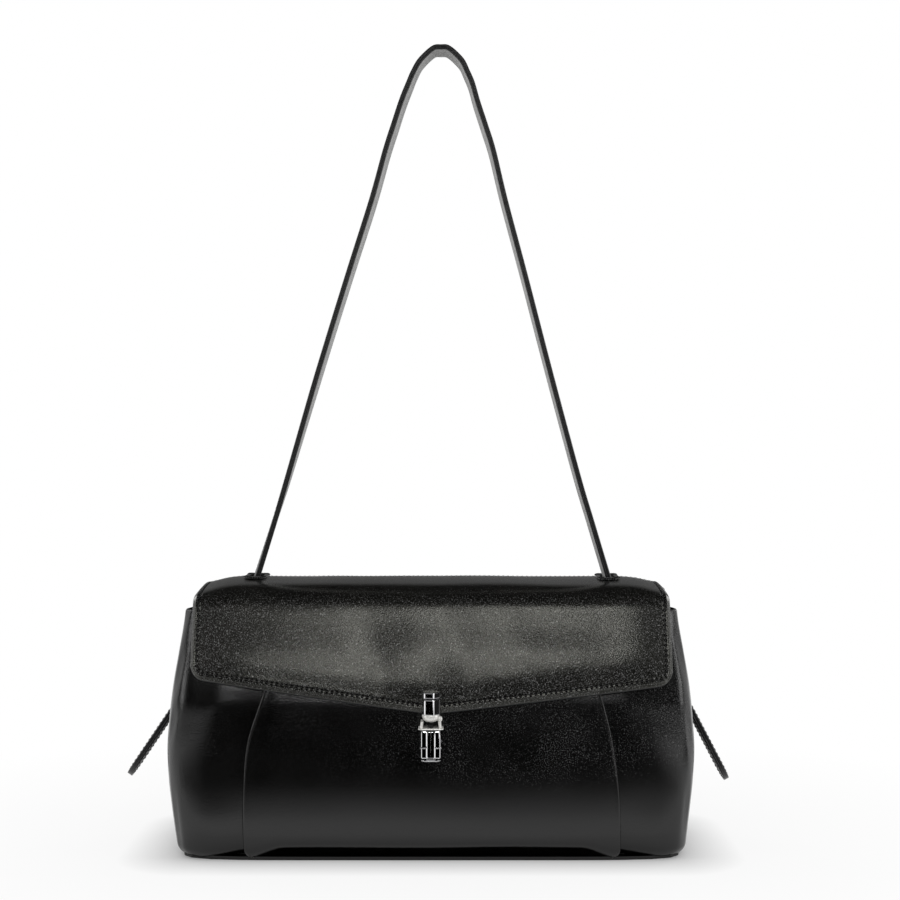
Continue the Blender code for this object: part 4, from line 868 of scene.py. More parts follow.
def add_body():
    wall = body_wall()
    normals = grid_normals(wall, True)
    front = (wall[..., 1] < 0.0) * 1.0
    wall = between(wall, swelled(wall, normals, BODY_SWELLS), front[..., None])
    wall = rippled(wall, *BODY_RIPPLE, closed=True)
    rows, columns = wall.shape[:2]
    facing_rows = np.full((rows - 1, columns), INNER_SLOT)
    facing_rows[wall[:-1, 0, 2] > BACK_EDGE_Z - FACING] = OUTER_SLOT
    materials = (LEATHER, CLOTH, EDGE)
    body = shell("body_leather", wall, WALL_THICKNESS, materials, closed=True, inner_index=facing_rows)
    for vertex in body.data.vertices:
        vertex.co.z = max(vertex.co.z, 0.0)
    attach(body, "body")
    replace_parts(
        body, "front_panel", "back_panel", "gusset_left", "gusset_right",
        "lining_front", "lining_back", "lining_gusset_left", "lining_gusset_right",
    )


# Flap
def flap_line_z(x):
    """The flap's bottom line without its round corners: a shallow V that hangs lower at the right."""
    corner = np.where(np.asarray(x) < 0.0, FLAP_CORNERS_Z[0], FLAP_CORNERS_Z[1])
    return between(FLAP_TIP_Z, corner, np.abs(x) / FLAP_HALF_WIDTH)


def flap_bottom_z(x):
    z = flap_line_z(x)
    over = np.clip(np.abs(x) - (FLAP_HALF_WIDTH - FLAP_CORNER_RADIUS), 0.0, FLAP_CORNER_RADIUS)
    return z + FLAP_CORNER_RADIUS - np.sqrt(FLAP_CORNER_RADIUS ** 2 - over ** 2)


def flap_droop(x):
    over = (np.abs(x) - FLAP_DROOP_START_X) / (FLAP_HALF_WIDTH - FLAP_DROOP_START_X)
    return FLAP_DROOP * np.maximum(over, 0.0) ** 2


def finer_at_ends(count, border_share, border_count, both):
    """Places from 0 to 1, crowded over a border at the end, or at both ends."""
    border = np.linspace(1.0 - border_share, 1.0, border_count)
    if not both:
        return np.concatenate([np.linspace(0.0, 1.0 - border_share, count)[:-1], border])
    middle = np.linspace(border_share, 1.0 - border_share, count)
    return np.concatenate([1.0 - border[::-1], middle[1:-1], border])


def curve_between(first, handle, other_handle, last, t):
    """A cubic curve's value."""
    near, far = (1.0 - t), t
    start = near ** 3 * first + 3.0 * near ** 2 * far * handle
    return start + 3.0 * near * far ** 2 * other_handle + far ** 3 * last


def flap_top(x, t):
    """The flap's top, from the hinge to the start of its front roll."""
    droop = flap_droop(x) * between(FLAP_REAR_DROOP_share, 1.0, smooth(t))
    y = between(FLAP_HINGE[0], ROLL_START[0], t)
    z = curve_between(FLAP_HINGE[1], *CREST_HANDLES_Z, ROLL_START[1], t)
    return y + 0.0 * x, z - droop


def edge_distance(x, z):
    """How far a point of the flap lies from its side and bottom edges."""
    side = FLAP_HALF_WIDTH - np.abs(x)
    low = (z - flap_line_z(x)) / FLAP_LEAN_share
    radius = FLAP_CORNER_RADIUS
    corner = radius - np.hypot(np.maximum(radius - side, 0.0), np.maximum(radius - low, 0.0))
    return np.where((side < radius) & (low < radius), corner, np.minimum(side, low))


def edge_relief(distance):
    """The flap's height near its edge: a stepped border, a stitch channel and the padding inside it."""
    relief = PADDING * smooth((distance - PADDING_START) / PADDING_WIDTH)
    relief = relief + RIDGE * np.exp(-((distance - RIDGE_PLACE) / RIDGE_WIDTH) ** 2)
    relief = relief - EDGE_FALL * np.clip(1.0 - distance / RIDGE_PLACE, 0.0, 1.0) ** EDGE_FALL_power
    return relief - CHANNEL_DEPTH * np.exp(-((distance - FLAP_STITCH_INSET) / CHANNEL_WIDTH) ** 2)


def flap_grid():
    """The flap's outer face from its rear seam, over the front roll and down to the bottom edge."""
    spread = finer_at_ends(FLAP_COLUMNS, 0.5 * FLAP_BORDER / FLAP_HALF_WIDTH, FLAP_BORDER_ROWS, True)
    x = FLAP_HALF_WIDTH * NEAR_FULL_share * (2.0 * spread - 1.0)
    top_y, top_z = flap_top(x, np.linspace(FLAP_SEAM_share, 1.0, FLAP_REAR_ROWS)[:, None])
    droop = flap_droop(x)
    end_z = ROLL_END_Z - 0.5 * droop
    end_y = -wall_depth(x, end_z, True) - FLAP_CLEARANCE - ROLL_END_SHIFT
    below, above = wall_depth(0.0, ROLL_END_Z + np.array(ROLL_PROBES), True)
    ahead = unit(np.array((above - below, ROLL_PROBES[0] - ROLL_PROBES[1])))
    t = np.linspace(0.0, 1.0, FLAP_ROLL_ROWS + 1)[1:, None]
    start_y, start_z = ROLL_START[0], ROLL_START[1] - droop
    handle_y, handle_z = end_y - ROLL_HANDLE * ahead[0], end_z - ROLL_HANDLE * ahead[1]
    roll_y = curve_between(start_y, start_y - ROLL_HANDLE, handle_y, end_y, t)
    roll_z = curve_between(start_z, start_z - ROLL_HANDLE * ROLL_SLOPE, handle_z, end_z, t)
    height = ROLL_END_Z - 0.5 * (FLAP_TIP_Z + FLAP_CORNERS_Z[1])
    s = finer_at_ends(FLAP_FRONT_ROWS, FLAP_BORDER / height, FLAP_BORDER_ROWS, False)[1:, None]
    front_z = between(end_z[None, :], flap_bottom_z(x)[None, :], s)
    front_y = -wall_depth(x[None, :], front_z, True) - FLAP_CLEARANCE - ROLL_END_SHIFT * (1.0 - s)
    y = np.concatenate([top_y, roll_y, front_y])
    z = np.concatenate([top_z, roll_z, front_z])
    for part in (y, z):
        eased(part[FLAP_EASED_ROWS], FLAP_EASING)
    return np.stack([np.broadcast_to(x, y.shape), y, z], axis=-1)


def crease_span(obj):
    """Bakes the piece's placement into its mesh."""
    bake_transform(obj)


def add_flap():
    plain_grid = flap_grid()
    x, y, z = np.moveaxis(plain_grid, -1, 0)
    grid = swelled(plain_grid, grid_normals(plain_grid), FLAP_SWELLS)
    grid = rippled(grid, *FLAP_RIPPLE)
    on_top = y > y[FLAP_TOP_ROWS]
    distance = np.where(on_top, FLAP_HALF_WIDTH - np.abs(x), edge_distance(x, z))
    grid = grid + grid_normals(grid) * edge_relief(distance)[..., None]
    flap = shell("flap_leather", grid, FLAP_THICKNESS, (FLAP_LEATHER_PAINTED_LIT, CLOTH, EDGE), PAIR_RIM_share)
    crease_span(flap)
    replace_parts(flap, "flap_top", "flap_top_lining", "flap_front", "flap_front_lining")
    return grid


def add_band():
    """The leather that rises up the back and runs under the flap's rear seam."""
    x = FLAP_HALF_WIDTH * np.linspace(-NEAR_FULL_share, NEAR_FULL_share, BAND_COLUMNS)
    top_z = BAND_Z[1] - FLAP_REAR_DROOP_share * flap_droop(x)
    z_back = between(BAND_Z[0], top_z, np.linspace(0.0, 1.0, BAND_REAR_ROWS)[:, None])
    y_back = wall_depth(x, z_back, False) + BAND_GAP
    seam_t = np.linspace(BAND_START_share, FLAP_SEAM_share + BAND_LAP_share, BAND_TOP_ROWS)[:, None]
    y_top, z_top = flap_top(x, seam_t)
    lap = smooth((seam_t - FLAP_SEAM_share + BAND_LAP_EASE_share) / BAND_LAP_EASE_share)
    y = np.concatenate([y_back, y_top])
    z = np.concatenate([z_back, z_top - (FLAP_THICKNESS + BAND_LAP_GAP) * lap])
    for part in (y, z):
        eased(part[BAND_EASED_ROWS], BAND_EASING)
    grid = np.stack([np.broadcast_to(x, y.shape), y, z], axis=-1)
    band = shell("flap_band_leather", grid, BAND_THICKNESS, (FLAP_LEATHER_PAINTED_LIT, CLOTH, EDGE))
    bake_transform(band)
    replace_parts(band, "flap_back_band")


# Strap
def section():
    """The strap's outline across, as points and slots: outer face, edge of two layers, inner face, edge."""
    flat = 0.5 * STRAP_WIDTH - STRAP_EDGE
    across = np.linspace(-flat, flat, STRAP_COLUMNS)
    outer = [(w, 0.0) for w in across]
    right = [(flat + STRAP_EDGE * out, -STRAP_THICKNESS * deep) for deep, out in PAIR_RIM_share[1:-1]]
    inner = [(w, -STRAP_THICKNESS) for w in across[::-1]]
    left = [(-w, z) for w, z in right[::-1]]
    edge = [RIM_SLOT] * (len(right) + 1)
    face = STRAP_COLUMNS - 1
    return np.array(outer + right + inner + left), [OUTER_SLOT] * face + edge + [INNER_SLOT] * face + edge


def sweep(name, line, outs, widths=1.0):
    """A strap along a line: outs are the ways its outer face looks, widths are shares of its width."""
    outline, slots = section()
    forward = unit(np.gradient(line, axis=0))
    outs = unit(outs - forward * np.sum(outs * forward, axis=1, keepdims=True))
    sides = np.cross(forward, outs)
    ease = np.broadcast_to(widths, len(line))[:, None, None]
    across, deep = outline[None, :, 0, None], outline[None, :, 1, None]
    rings = line[:, None] + sides[:, None] * across * ease + outs[:, None] * deep
    stations, around = rings.shape[:2]
    faces = [tuple(face) for face in ring_faces(stations, around)]
    faces += [tuple(range(around)), tuple(stations * around - 1 - j for j in range(around))]
    indices = slots * (stations - 1) + [RIM_SLOT, RIM_SLOT]
    obj = made_object(name, rings.reshape(-1, 3), faces, (STRAP_LEATHER, SPLIT, EDGE), indices)
    return obj, sides, outs


def arch_line():
    x = STRAP_FOOT_X * through(ARCH_X_share, ARCH_STEPS)
    z = STRAP_FOOT_Z + STRAP_RISE * through(ARCH_Z_share, ARCH_STEPS)
    line = np.stack([x, 0.0 * x, z], axis=-1)
    sink = np.linspace(STRAP_SINK, 0.0, SINK_STEPS + 1)[:-1, None]
    first = line[0] - unit(line[1] - line[0]) * sink
    last = line[-1] + unit(line[-1] - line[-2]) * sink[::-1]
    return np.concatenate([first, line, last])


def twisted(outs, forward, degrees):
    turned = []
    for out, ahead, angle in zip(outs, forward, degrees):
        spin = Matrix.Rotation(math.radians(angle), 3, Vector(ahead))
        turned.append(spin @ Vector(out))
    return np.array(turned)


def add_strap_arch():
    line = arch_line()
    forward = unit(np.gradient(line, axis=0))
    outs = unit(np.stack([-forward[:, 2], 0.0 * forward[:, 0], forward[:, 0]], axis=-1))
    marks = np.linspace(0.0, 1.0, len(ARCH_TWIST_DEG))
    twist = np.interp(np.linspace(0.0, 1.0, len(line)), marks, ARCH_TWIST_DEG)
    from_end = np.arange(len(line))
    from_end = np.minimum(from_end, from_end[::-1])
    line = line + outs * (STRAP_BULGE * smooth((from_end - SINK_STEPS) / BULGE_STEPS))[:, None]
    strap, sides, outs = sweep("strap_leather", line, twisted(outs, forward, twist))
    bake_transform(strap)
    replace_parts(strap, "strap_arch_outer", "strap_arch_inner")
    reach = 0.5 * STRAP_WIDTH - STRAP_STITCH_INSET
    for side, name in ((-1.0, "strap_stitches_front"), (1.0, "strap_stitches_back")):
        row = stitch_row(name, line + sides * reach * side, outs, SUNK_STITCH_share)
        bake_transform(row)


def add_strap_run(name, side):
    """The length inside the body, from the flap's slot to the gusset's slot."""
    top = np.array((side * SLOT_X, 0.0, SLOT_Z - RUN_DROP))
    low = np.array((side * TAIL_PIVOT[0], 0.0, TAIL_PIVOT[1]))
    slope = unit(low - top)
    line = between(top, low - slope * RUN_END_GAP, np.linspace(0.0, 1.0, RUN_STATIONS)[:, None])
    out = np.array((-slope[2], 0.0, slope[0]))
    out = out * np.sign(out[0] * side)
    line = line + out * 0.5 * STRAP_THICKNESS
    run, _, _ = sweep(name, line, np.repeat(out[None, :], len(line), axis=0))
    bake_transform(run)
    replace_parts(run, name.replace("leather_run", "strap_run"), name.replace("leather_run", "strap_root"))


def add_strap_tail(name, side, degrees):
    """The free end that leaves the gusset, with a round tip."""
    slope = unit(np.array((side * (TAIL_PIVOT[0] - SLOT_X), 0.0, TAIL_PIVOT[1] - SLOT_Z)))
    lean = math.radians(degrees)
    hang = np.array((side * math.sin(lean), 0.0, -math.cos(lean)))
    pivot = np.array((side * TAIL_PIVOT[0], 0.0, TAIL_PIVOT[1]))
    run = np.linspace(-TAIL_ROOT, TAIL_LENGTH - TAIL_TIP_GAP, TAIL_STATIONS)
    line = np.where(run[:, None] < 0.0, pivot + slope * run[:, None], pivot + hang * run[:, None])
    eased(line, TAIL_EASING)
    radius = 0.5 * STRAP_WIDTH
    left = np.clip((run - (TAIL_LENGTH - radius)) / radius, 0.0, NEAR_FULL_share)
    forward = unit(np.gradient(line, axis=0))
    outs = unit(np.stack([-forward[:, 2], 0.0 * run, forward[:, 0]], axis=-1))
    outs = outs * np.sign(outs[:, :1] * side)
    line = line + outs * 0.5 * STRAP_THICKNESS
    tail, sides, outs = sweep(name, line, outs, np.sqrt(1.0 - left ** 2))
    body = "tail_left" if side < 0.0 else "tail_right"
    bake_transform(tail)
    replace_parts(tail, "strap_" + body + "_outer", "strap_" + body + "_inner")
    inner = line - outs * STRAP_THICKNESS
    along, across = np.array(tail_border(radius)).T
    place = np.interp(along, run, np.arange(len(run)))
    for face, ways, word in ((line, outs, "outer"), (inner, -outs, "inner")):
        row = at_rows(face, place) + at_rows(sides, place) * across[:, None]
        stitches = stitch_row(body + "_stitches_" + word, row, at_rows(ways, place))
        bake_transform(stitches)


def at_rows(table, place):
    """Values between the rows of a table."""
    low = np.minimum(place.astype(int), len(table) - 2)
    return between(table[low], table[low + 1], (place - low)[:, None])


def tail_border(radius):
    """The stitch line round a tail as (along, across) places."""
    reach = radius - STRAP_STITCH_INSET
    straight = TAIL_LENGTH - radius
    sides = np.linspace(-TAIL_STITCH_ROOT, straight, TAIL_SIDE_POINTS)
    turns = np.linspace(-0.5 * math.pi, 0.5 * math.pi, TAIL_TIP_POINTS)
    tip = [(straight + reach * math.cos(t), reach * math.sin(t)) for t in turns]
    return [(a, -reach) for a in sides] + tip + [(a, reach) for a in sides[::-1]]


def stitch_marks(line, outs):
    """Evenly spaced places along a line, with the way ahead and the way up at each."""
    steps = np.linalg.norm(np.diff(line, axis=0), axis=1)
    run = np.concatenate([[0.0], np.cumsum(steps)])
    count = max(int(run[-1] / STITCH_PITCH), 1)
    marks = (np.arange(count) + 0.5) * run[-1] / count

    def read(table, places):
        return np.stack([np.interp(places, run, column) for column in table.T], axis=-1)

    ahead = read(line, marks + STITCH_PROBE) - read(line, marks - STITCH_PROBE)
    return read(line, marks), unit(ahead), unit(read(outs, marks))


def stitch_row(name, line, outs, proud=RAISED_STITCH_share):
    """Small rounded stitches, evenly spaced along a line, half sunk in the leather."""
    place, forward, up = stitch_marks(line, outs)
    forward = unit(forward + STITCH_SLANT * unit(np.cross(forward, up)))
    side = unit(np.cross(forward, up))
    shape, faces = bead()
    along, across, rise = np.moveaxis(shape[None, :, :, None], 2, 0)
    points = place[:, None] + forward[:, None] * along * (0.5 * STITCH_LENGTH)
    points = points + side[:, None] * across * STITCH_RADIUS
    points = points + up[:, None] * (rise * STITCH_RADIUS + proud * STITCH_RADIUS)
    starts = np.arange(len(place))[:, None, None] * len(shape)
    every = (faces[None] + starts).reshape(-1, 4)
    return made_object(name, points.reshape(-1, 3), every, (THREAD,))


def hole_row(name, line, outs):
    """The dimples that the stitches of a row pull into the leather, drawn as dark discs of painted shade."""
    place, forward, up = stitch_marks(line, outs)
    side = unit(np.cross(forward, up))
    turns = np.linspace(0.0, math.tau, HOLE_SIDES, endpoint=False)[None, :, None]
    rings = []
    for reach, lift in HOLE_RINGS_share:
        ring = place[:, None] + up[:, None] * (HOLE_LIFT + lift * HOLE_RADIUS)
        ring = ring + forward[:, None] * (np.cos(turns) * reach * HOLE_LENGTH_share * HOLE_RADIUS)
        rings.append(ring + side[:, None] * (np.sin(turns) * reach * HOLE_RADIUS))
    points = np.concatenate(rings, axis=1)
    bottom = tuple(range(HOLE_SIDES, 2 * HOLE_SIDES))
    faces = [bottom] + [tuple(face) for face in grid_faces(2, HOLE_SIDES, 0, True, False)]
    every = [tuple(j + 2 * HOLE_SIDES * k for j in face) for k in range(len(place)) for face in faces]
    return made_object(name, points.reshape(-1, 3), every, (HOLE_PAINTED_SHADE,))


def bead():
    """A blunt spindle of rings, one unit in each half size."""
    points = []
    for k in range(BEAD_RINGS):
        along = -math.cos(math.pi * k / (BEAD_RINGS - 1))
        radius = max(1.0 - abs(along) ** BEAD_POWER, BEAD_TIP_share) ** 0.5
        for j in range(BEAD_SIDES):
            turn = math.tau * j / BEAD_SIDES
            points.append((along, radius * math.cos(turn), radius * math.sin(turn)))
    return np.array(points), grid_faces(BEAD_RINGS, BEAD_SIDES, 0, True, False)


def add_flap_stitches(grid):
    """One row round the flap's sides and bottom edge, and one along its rear seam."""
    normals = grid_normals(grid)
    columns = grid.shape[1]
    radius, inset = FLAP_CORNER_RADIUS, FLAP_STITCH_INSET
    straight = FLAP_HALF_WIDTH - radius
    edge_x = FLAP_HALF_WIDTH - inset

    def column_of(x):
        return float(np.interp(x, grid[0, :, 0], np.arange(columns)))

    def row_of(x, low):
        height = float(flap_line_z(x)) + low * FLAP_LEAN_share
        column = grid[FLAP_TOP_ROWS:, int(round(column_of(x))), 2]
        return FLAP_TOP_ROWS + float(np.interp(-height, -column, np.arange(len(column))))

    def rows_along(path, name, hole_name, proud):
        line, ways = (np.array([on_grid(table, r, c) for r, c in path]) for table in (grid, normals))
        return stitch_row(name, line, ways, proud), hole_row(hole_name, line, ways)

    for name, sign in (("flap_stitches_right", 1.0), ("flap_stitches_left", -1.0)):
        side_rows = np.linspace(FLAP_SIDE_ROW, row_of(sign * edge_x, radius), FLAP_SIDE_POINTS)
        path = [(r, column_of(sign * edge_x)) for r in side_rows]
        for turn in np.linspace(0.0, 0.5 * math.pi, FLAP_CORNER_POINTS)[1:-1]:
            x = sign * (straight + (radius - inset) * math.cos(turn))
            path.append((row_of(x, radius - (radius - inset) * math.sin(turn)), column_of(x)))
        for x in np.linspace(straight, FLAP_STITCH_END_X, FLAP_EDGE_POINTS):
            path.append((row_of(sign * x, inset), column_of(sign * x)))
        for row in rows_along(path, name, name + "_holes", RAISED_STITCH_share):
            crease_span(row)
    last = column_of(edge_x)
    rear = [(REAR_SEAM_ROW, c) for c in np.linspace(columns - 1 - last, last, REAR_SEAM_POINTS)]
    for row in rows_along(rear, "flap_rear_stitches", "flap_rear_holes", SUNK_STITCH_share):
        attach(row, "flap_top")


def on_grid(grid, r, c):
    """A grid's value at a place between its rows and columns."""
    rows, columns = grid.shape[:2]
    row, column = min(int(r), rows - 2), min(int(c), columns - 2)
    down, along = r - row, c - column
    first = grid[row, column] * (1.0 - along) + grid[row, column + 1] * along
    second = grid[row + 1, column] * (1.0 - along) + grid[row + 1, column + 1] * along
    return first * (1.0 - down) + second * down


def stadium(half_x, half_y, count):
    turns = np.linspace(0.0, math.tau, count, endpoint=False)
    y = half_x * np.sin(turns)
    return np.stack([half_x * np.cos(turns), y + np.copysign(half_y - half_x, y)], axis=-1)


def flap_height(grid, x, y):
    """Z of the flap's top at a place, read from its grid."""
    c = float(np.interp(x, grid[0, :, 0], np.arange(grid.shape[1])))
    column = np.array([on_grid(grid, r, c) for r in range(FLAP_TOP_ROWS)])
    order = np.argsort(column[:, 1])
    return float(np.interp(y, column[order, 1], column[order, 2]))


def add_slot_binding(name, side, grid):
    """The low leather welt round a slot in the flap, whipped with thread."""
    middle = []
    for x, y in stadium(*BINDING_HALF, BINDING_STATIONS):
        place = side * SLOT_X + x
        middle.append((place, y, flap_height(grid, place, y) + BINDING_PROUD_share * BINDING_RADIUS))
    middle = np.array(middle)
    along = np.roll(middle, -1, axis=0) - np.roll(middle, 1, axis=0)
    out = unit(np.stack([along[:, 1], -along[:, 0], 0.0 * along[:, 0]], axis=-1))
    out = out * np.sign(np.sum(out * (middle - middle.mean(axis=0)), axis=1, keepdims=True))
    up = np.array((0.0, 0.0, 1.0))
    turns = np.linspace(0.0, math.tau, BINDING_SIDES, endpoint=False)[None, :, None]
    rings = middle[:, None] + out[:, None] * (np.cos(turns) * BINDING_RADIUS)
    rings = rings + up * (np.sin(turns) * BINDING_RADIUS * BINDING_FLAT_share)
    faces = ring_faces(BINDING_STATIONS + 1, BINDING_SIDES) % (BINDING_STATIONS * BINDING_SIDES)
    ring = made_object("leather_" + name, rings.reshape(-1, 3), faces, (LEATHER,))
    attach(ring, "flap_top")
    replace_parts(ring, name)
    add_whip_stitches(name + "_threads", middle, out, up)


def add_whip_stitches(name, middle, out, up):
    """Threads laid across the welt, side by side."""
    count = len(middle)
    shape, bead_faces = bead()
    reach = WHIP_REACH_share * BINDING_RADIUS
    points, faces = [], []
    for k in range(WHIP_STITCHES):
        place = k * count / WHIP_STITCHES
        low, share = int(place), place - int(place)
        high = (low + 1) % count
        centre, way = between(middle[low], middle[high], share), unit(between(out[low], out[high], share))
        side = np.cross(way, up)
        for along, across, rise in shape:
            turn = 0.5 * math.pi * along
            lift = math.cos(turn) * reach * BINDING_FLAT_share + rise * STITCH_RADIUS
            point = centre + way * (math.sin(turn) * reach) + side * (across * STITCH_RADIUS)
            points.append(point + up * lift)
        faces.append(bead_faces + k * len(shape))
    every = np.concatenate(faces)
    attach(made_object(name, points, every, (THREAD,)), "flap_top")


# Clasp
def bevelled(name, low, high, span, bevel, body, material=CHROME):
    """A prism, or a slanting one, between two outlines at the two heights of its span, with rounded edges."""
    mesh = bmesh.new()
    below, above = ([mesh.verts.new((*corner, z)) for corner in line] for line, z in zip((low, high), span))
    count = len(below)
    mesh.faces.new(below[::-1])
    mesh.faces.new(above)
    for k in range(count):
        ahead = (k + 1) % count
        mesh.faces.new((below[k], below[ahead], above[ahead], above[k]))
    bmesh.ops.recalc_face_normals(mesh, faces=mesh.faces)
    bmesh.ops.bevel(mesh, geom=mesh.edges[:], offset=bevel, segments=BEVEL_STEPS, profile=0.5, affect="EDGES")
    made = bpy.data.meshes.new(name)
    mesh.to_mesh(made)
    mesh.free()
    made.materials.append(material)
    obj = linked(name, made)
    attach(obj, body)
    return obj


def hexagon(radius):
    turns = [math.radians(CLASP_TURN_DEG + 60.0 * k) for k in range(6)]
    return [(radius * math.cos(turn), CLASP_Y + radius * math.sin(turn)) for turn in turns]


def cut_box(half_x, half_y, corner):
    """A rectangle with cut corners about the clasp's axis."""
    near_x, near_y = half_x - corner, half_y - corner
    corners = [
        (half_x, -near_y), (half_x, near_y), (near_x, half_y), (-near_x, half_y),
        (-half_x, near_y), (-half_x, -near_y), (-near_x, -half_y), (near_x, -half_y),
    ]
    return [(x, CLASP_Y + y) for x, y in corners]


def box_outline(low_x, high_x, low_y, high_y):
    return [(low_x, low_y), (high_x, low_y), (high_x, high_y), (low_x, high_y)]


def ridged(low_x, high_x, front, back):
    """An outline with a ridge in front, whose two slopes look sideways."""
    slope = front + 0.5 * abs(high_x - low_x)
    return [(low_x, back), (low_x, slope), (0.5 * (low_x + high_x), front), (high_x, slope), (high_x, back)]


def add_knob():
    for name, radius, span in (("clasp_cap", CAP_RADIUS, CAP_Z), ("clasp_barrel", BARREL_RADIUS, BARREL_Z)):
        outline = hexagon(radius)
        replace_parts(bevelled("chrome_" + name, outline, outline, span, CLASP_BEVEL, "clasp_knob"), name)


def add_bowl():
    """The round seat at the foot of the flap's bracket, with the lug beside it."""
    points = []
    for radius, z in BOWL_PROFILE:
        for turn in (math.tau * j / BOWL_SIDES for j in range(BOWL_SIDES)):
            points.append((radius * math.cos(turn), CLASP_Y + radius * math.sin(turn), z))
    faces = ring_faces(len(BOWL_PROFILE), BOWL_SIDES)
    bowl = made_object("chrome_clasp_bowl", points, faces, (SATIN_PAINTED_REFLECTION,))
    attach(bowl, "flap_front")
    (low_x, high_x), span, half = LUG
    outline = box_outline(low_x, high_x, CLASP_Y - half, CLASP_Y + half)
    lug = bevelled("chrome_clasp_lug", outline, outline, span, LUG_BEVEL, "flap_front", SATIN_PAINTED_REFLECTION)
    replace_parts(lug, "clasp_lug")


def add_fork():
    """Two legs that lean together a little, on the flange plate."""
    front, back = CLASP_Y - FORK_HALF_DEPTH, CLASP_Y + FORK_HALF_DEPTH
    span = (FORK_FOOT[1], FORK_TOP[1])
    for side, name in ((-1.0, "clasp_fork_left"), (1.0, "clasp_fork_right")):
        low, high = (ridged(side * end[0][1], side * end[0][0], front, back) for end in (FORK_FOOT, FORK_TOP))
        leg = bevelled("chrome_" + name, low, high, span, FINE_BEVEL, "body", SATIN_PAINTED_REFLECTION)
    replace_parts(leg, "clasp_fork")


def add_plates():
    """The flange plate on top of the housing and the foot plate under it."""
    plates = (
        ("clasp_flange", FLANGE, FLANGE_CORNER_share, SATIN_PAINTED_REFLECTION),
        ("clasp_foot", FOOT, FOOT_CORNER_share, CHROME),
    )
    for name, (half_x, half_y, low, high), corner_share, material in plates:
        outline = cut_box(half_x, half_y, corner_share * half_x)
        bevel = PLATE_BEVEL_share * (high - low)
        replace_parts(bevelled("chrome_" + name, outline, outline, (low, high), bevel, "body", material), name)


def add_housing():
    """The hexagonal housing, with a grooved spine, a rail at each end and a shoulder at each side."""
    low, middle, high = HOUSING_Z
    half_x, half_y = HOUSING_HALF
    outline = cut_box(half_x, half_y, HOUSING_CORNER)
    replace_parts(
        bevelled("chrome_clasp_housing", outline, outline, (low, high), CLASP_BEVEL, "body"), "clasp_housing"
    )
    front = CLASP_Y - half_y
    for k, (x, half) in enumerate(FRAME_BARS):
        bar = [(x - half, front + FRAME_PROUD), (x - half, front), (x, front - half), (x + half, front)]
        bar.append((x + half, front + FRAME_PROUD))
        span = (low + BAR_ENDS[0], high - BAR_ENDS[1])
        bevelled("chrome_housing_bar_" + str(k), bar, bar, span, BAR_BEVEL, "body")
    reach = FRAME_BARS[1][0] + FRAME_BARS[1][1]
    rail = box_outline(-reach, reach, front - FRAME_PROUD, front + FRAME_PROUD)
    for k, (z, (down, up)) in enumerate(zip((low, high), RAILS)):
        bevelled("chrome_housing_rail_" + str(k), rail, rail, (z + down, z + up), FINE_BEVEL, "body")
    span = (middle - 0.5 * SHOULDER_HEIGHT, middle + 0.5 * SHOULDER_HEIGHT)
    for side, word in ((-1.0, "left"), (1.0, "right")):
        bar = box_outline(side * reach, side * (half_x + SHOULDER_STEP), front - SHOULDER_STEP, CLASP_Y)
        bevelled("chrome_housing_shoulder_" + word, bar, bar, span, FINE_BEVEL, "body")


# Finish of the CAD's own pieces
def dress_cad():
    """Gives the CAD nodes that stay visible their finish."""
    finish = {
        "clasp_chrome": CHROME, "plain_steel": STEEL, "black_leather": LEATHER, "lining_cloth": CLOTH,
        "grey_board": BOARD, "grey_strap_face": SPLIT,
    }
    slots = {row["node"]: row["material_slot"] for row in frame["record"]["subparts"]}
    for name, node in frame["nodes"].items():
        node.data.materials.clear()
        node.data.materials.append(finish[slots[name]])
    # The key and bracket are painted near black: painted shade between the fork's legs.
    for name in ("clasp_key", "clasp_bracket"):
        frame["nodes"][name].data.materials[0] = STEEL_PAINTED_SHADE


# Stage
def seen_white(tree):
    """1 for rays from the camera, for reflections and for light that passes through, 0 for all others."""
    path = tree.nodes.new("ShaderNodeLightPath")
    seen = path.outputs["Is Camera Ray"]
    for ray in ("Is Glossy Ray", "Is Transmission Ray"):
        either = tree.nodes.new("ShaderNodeMath")
        either.operation = "MAXIMUM"
        tree.links.new(seen, either.inputs[0])
        tree.links.new(path.outputs[ray], either.inputs[1])
        seen = either.outputs[0]
    return seen


def add_card(name, low, high, material):
    """A flat card between two corners that share one coordinate."""
    axis = next(k for k in range(3) if low[k] == high[k])
    first, second = [k for k in range(3) if k != axis]
    points = []
    for a, b in ((low, low), (high, low), (high, high), (low, high)):
        point = [low[axis]] * 3
        point[first], point[second] = a[first], b[second]
        points.append(point)
    card = made_object(name, points, [(0, 1, 2, 3)], (material,))
    return card


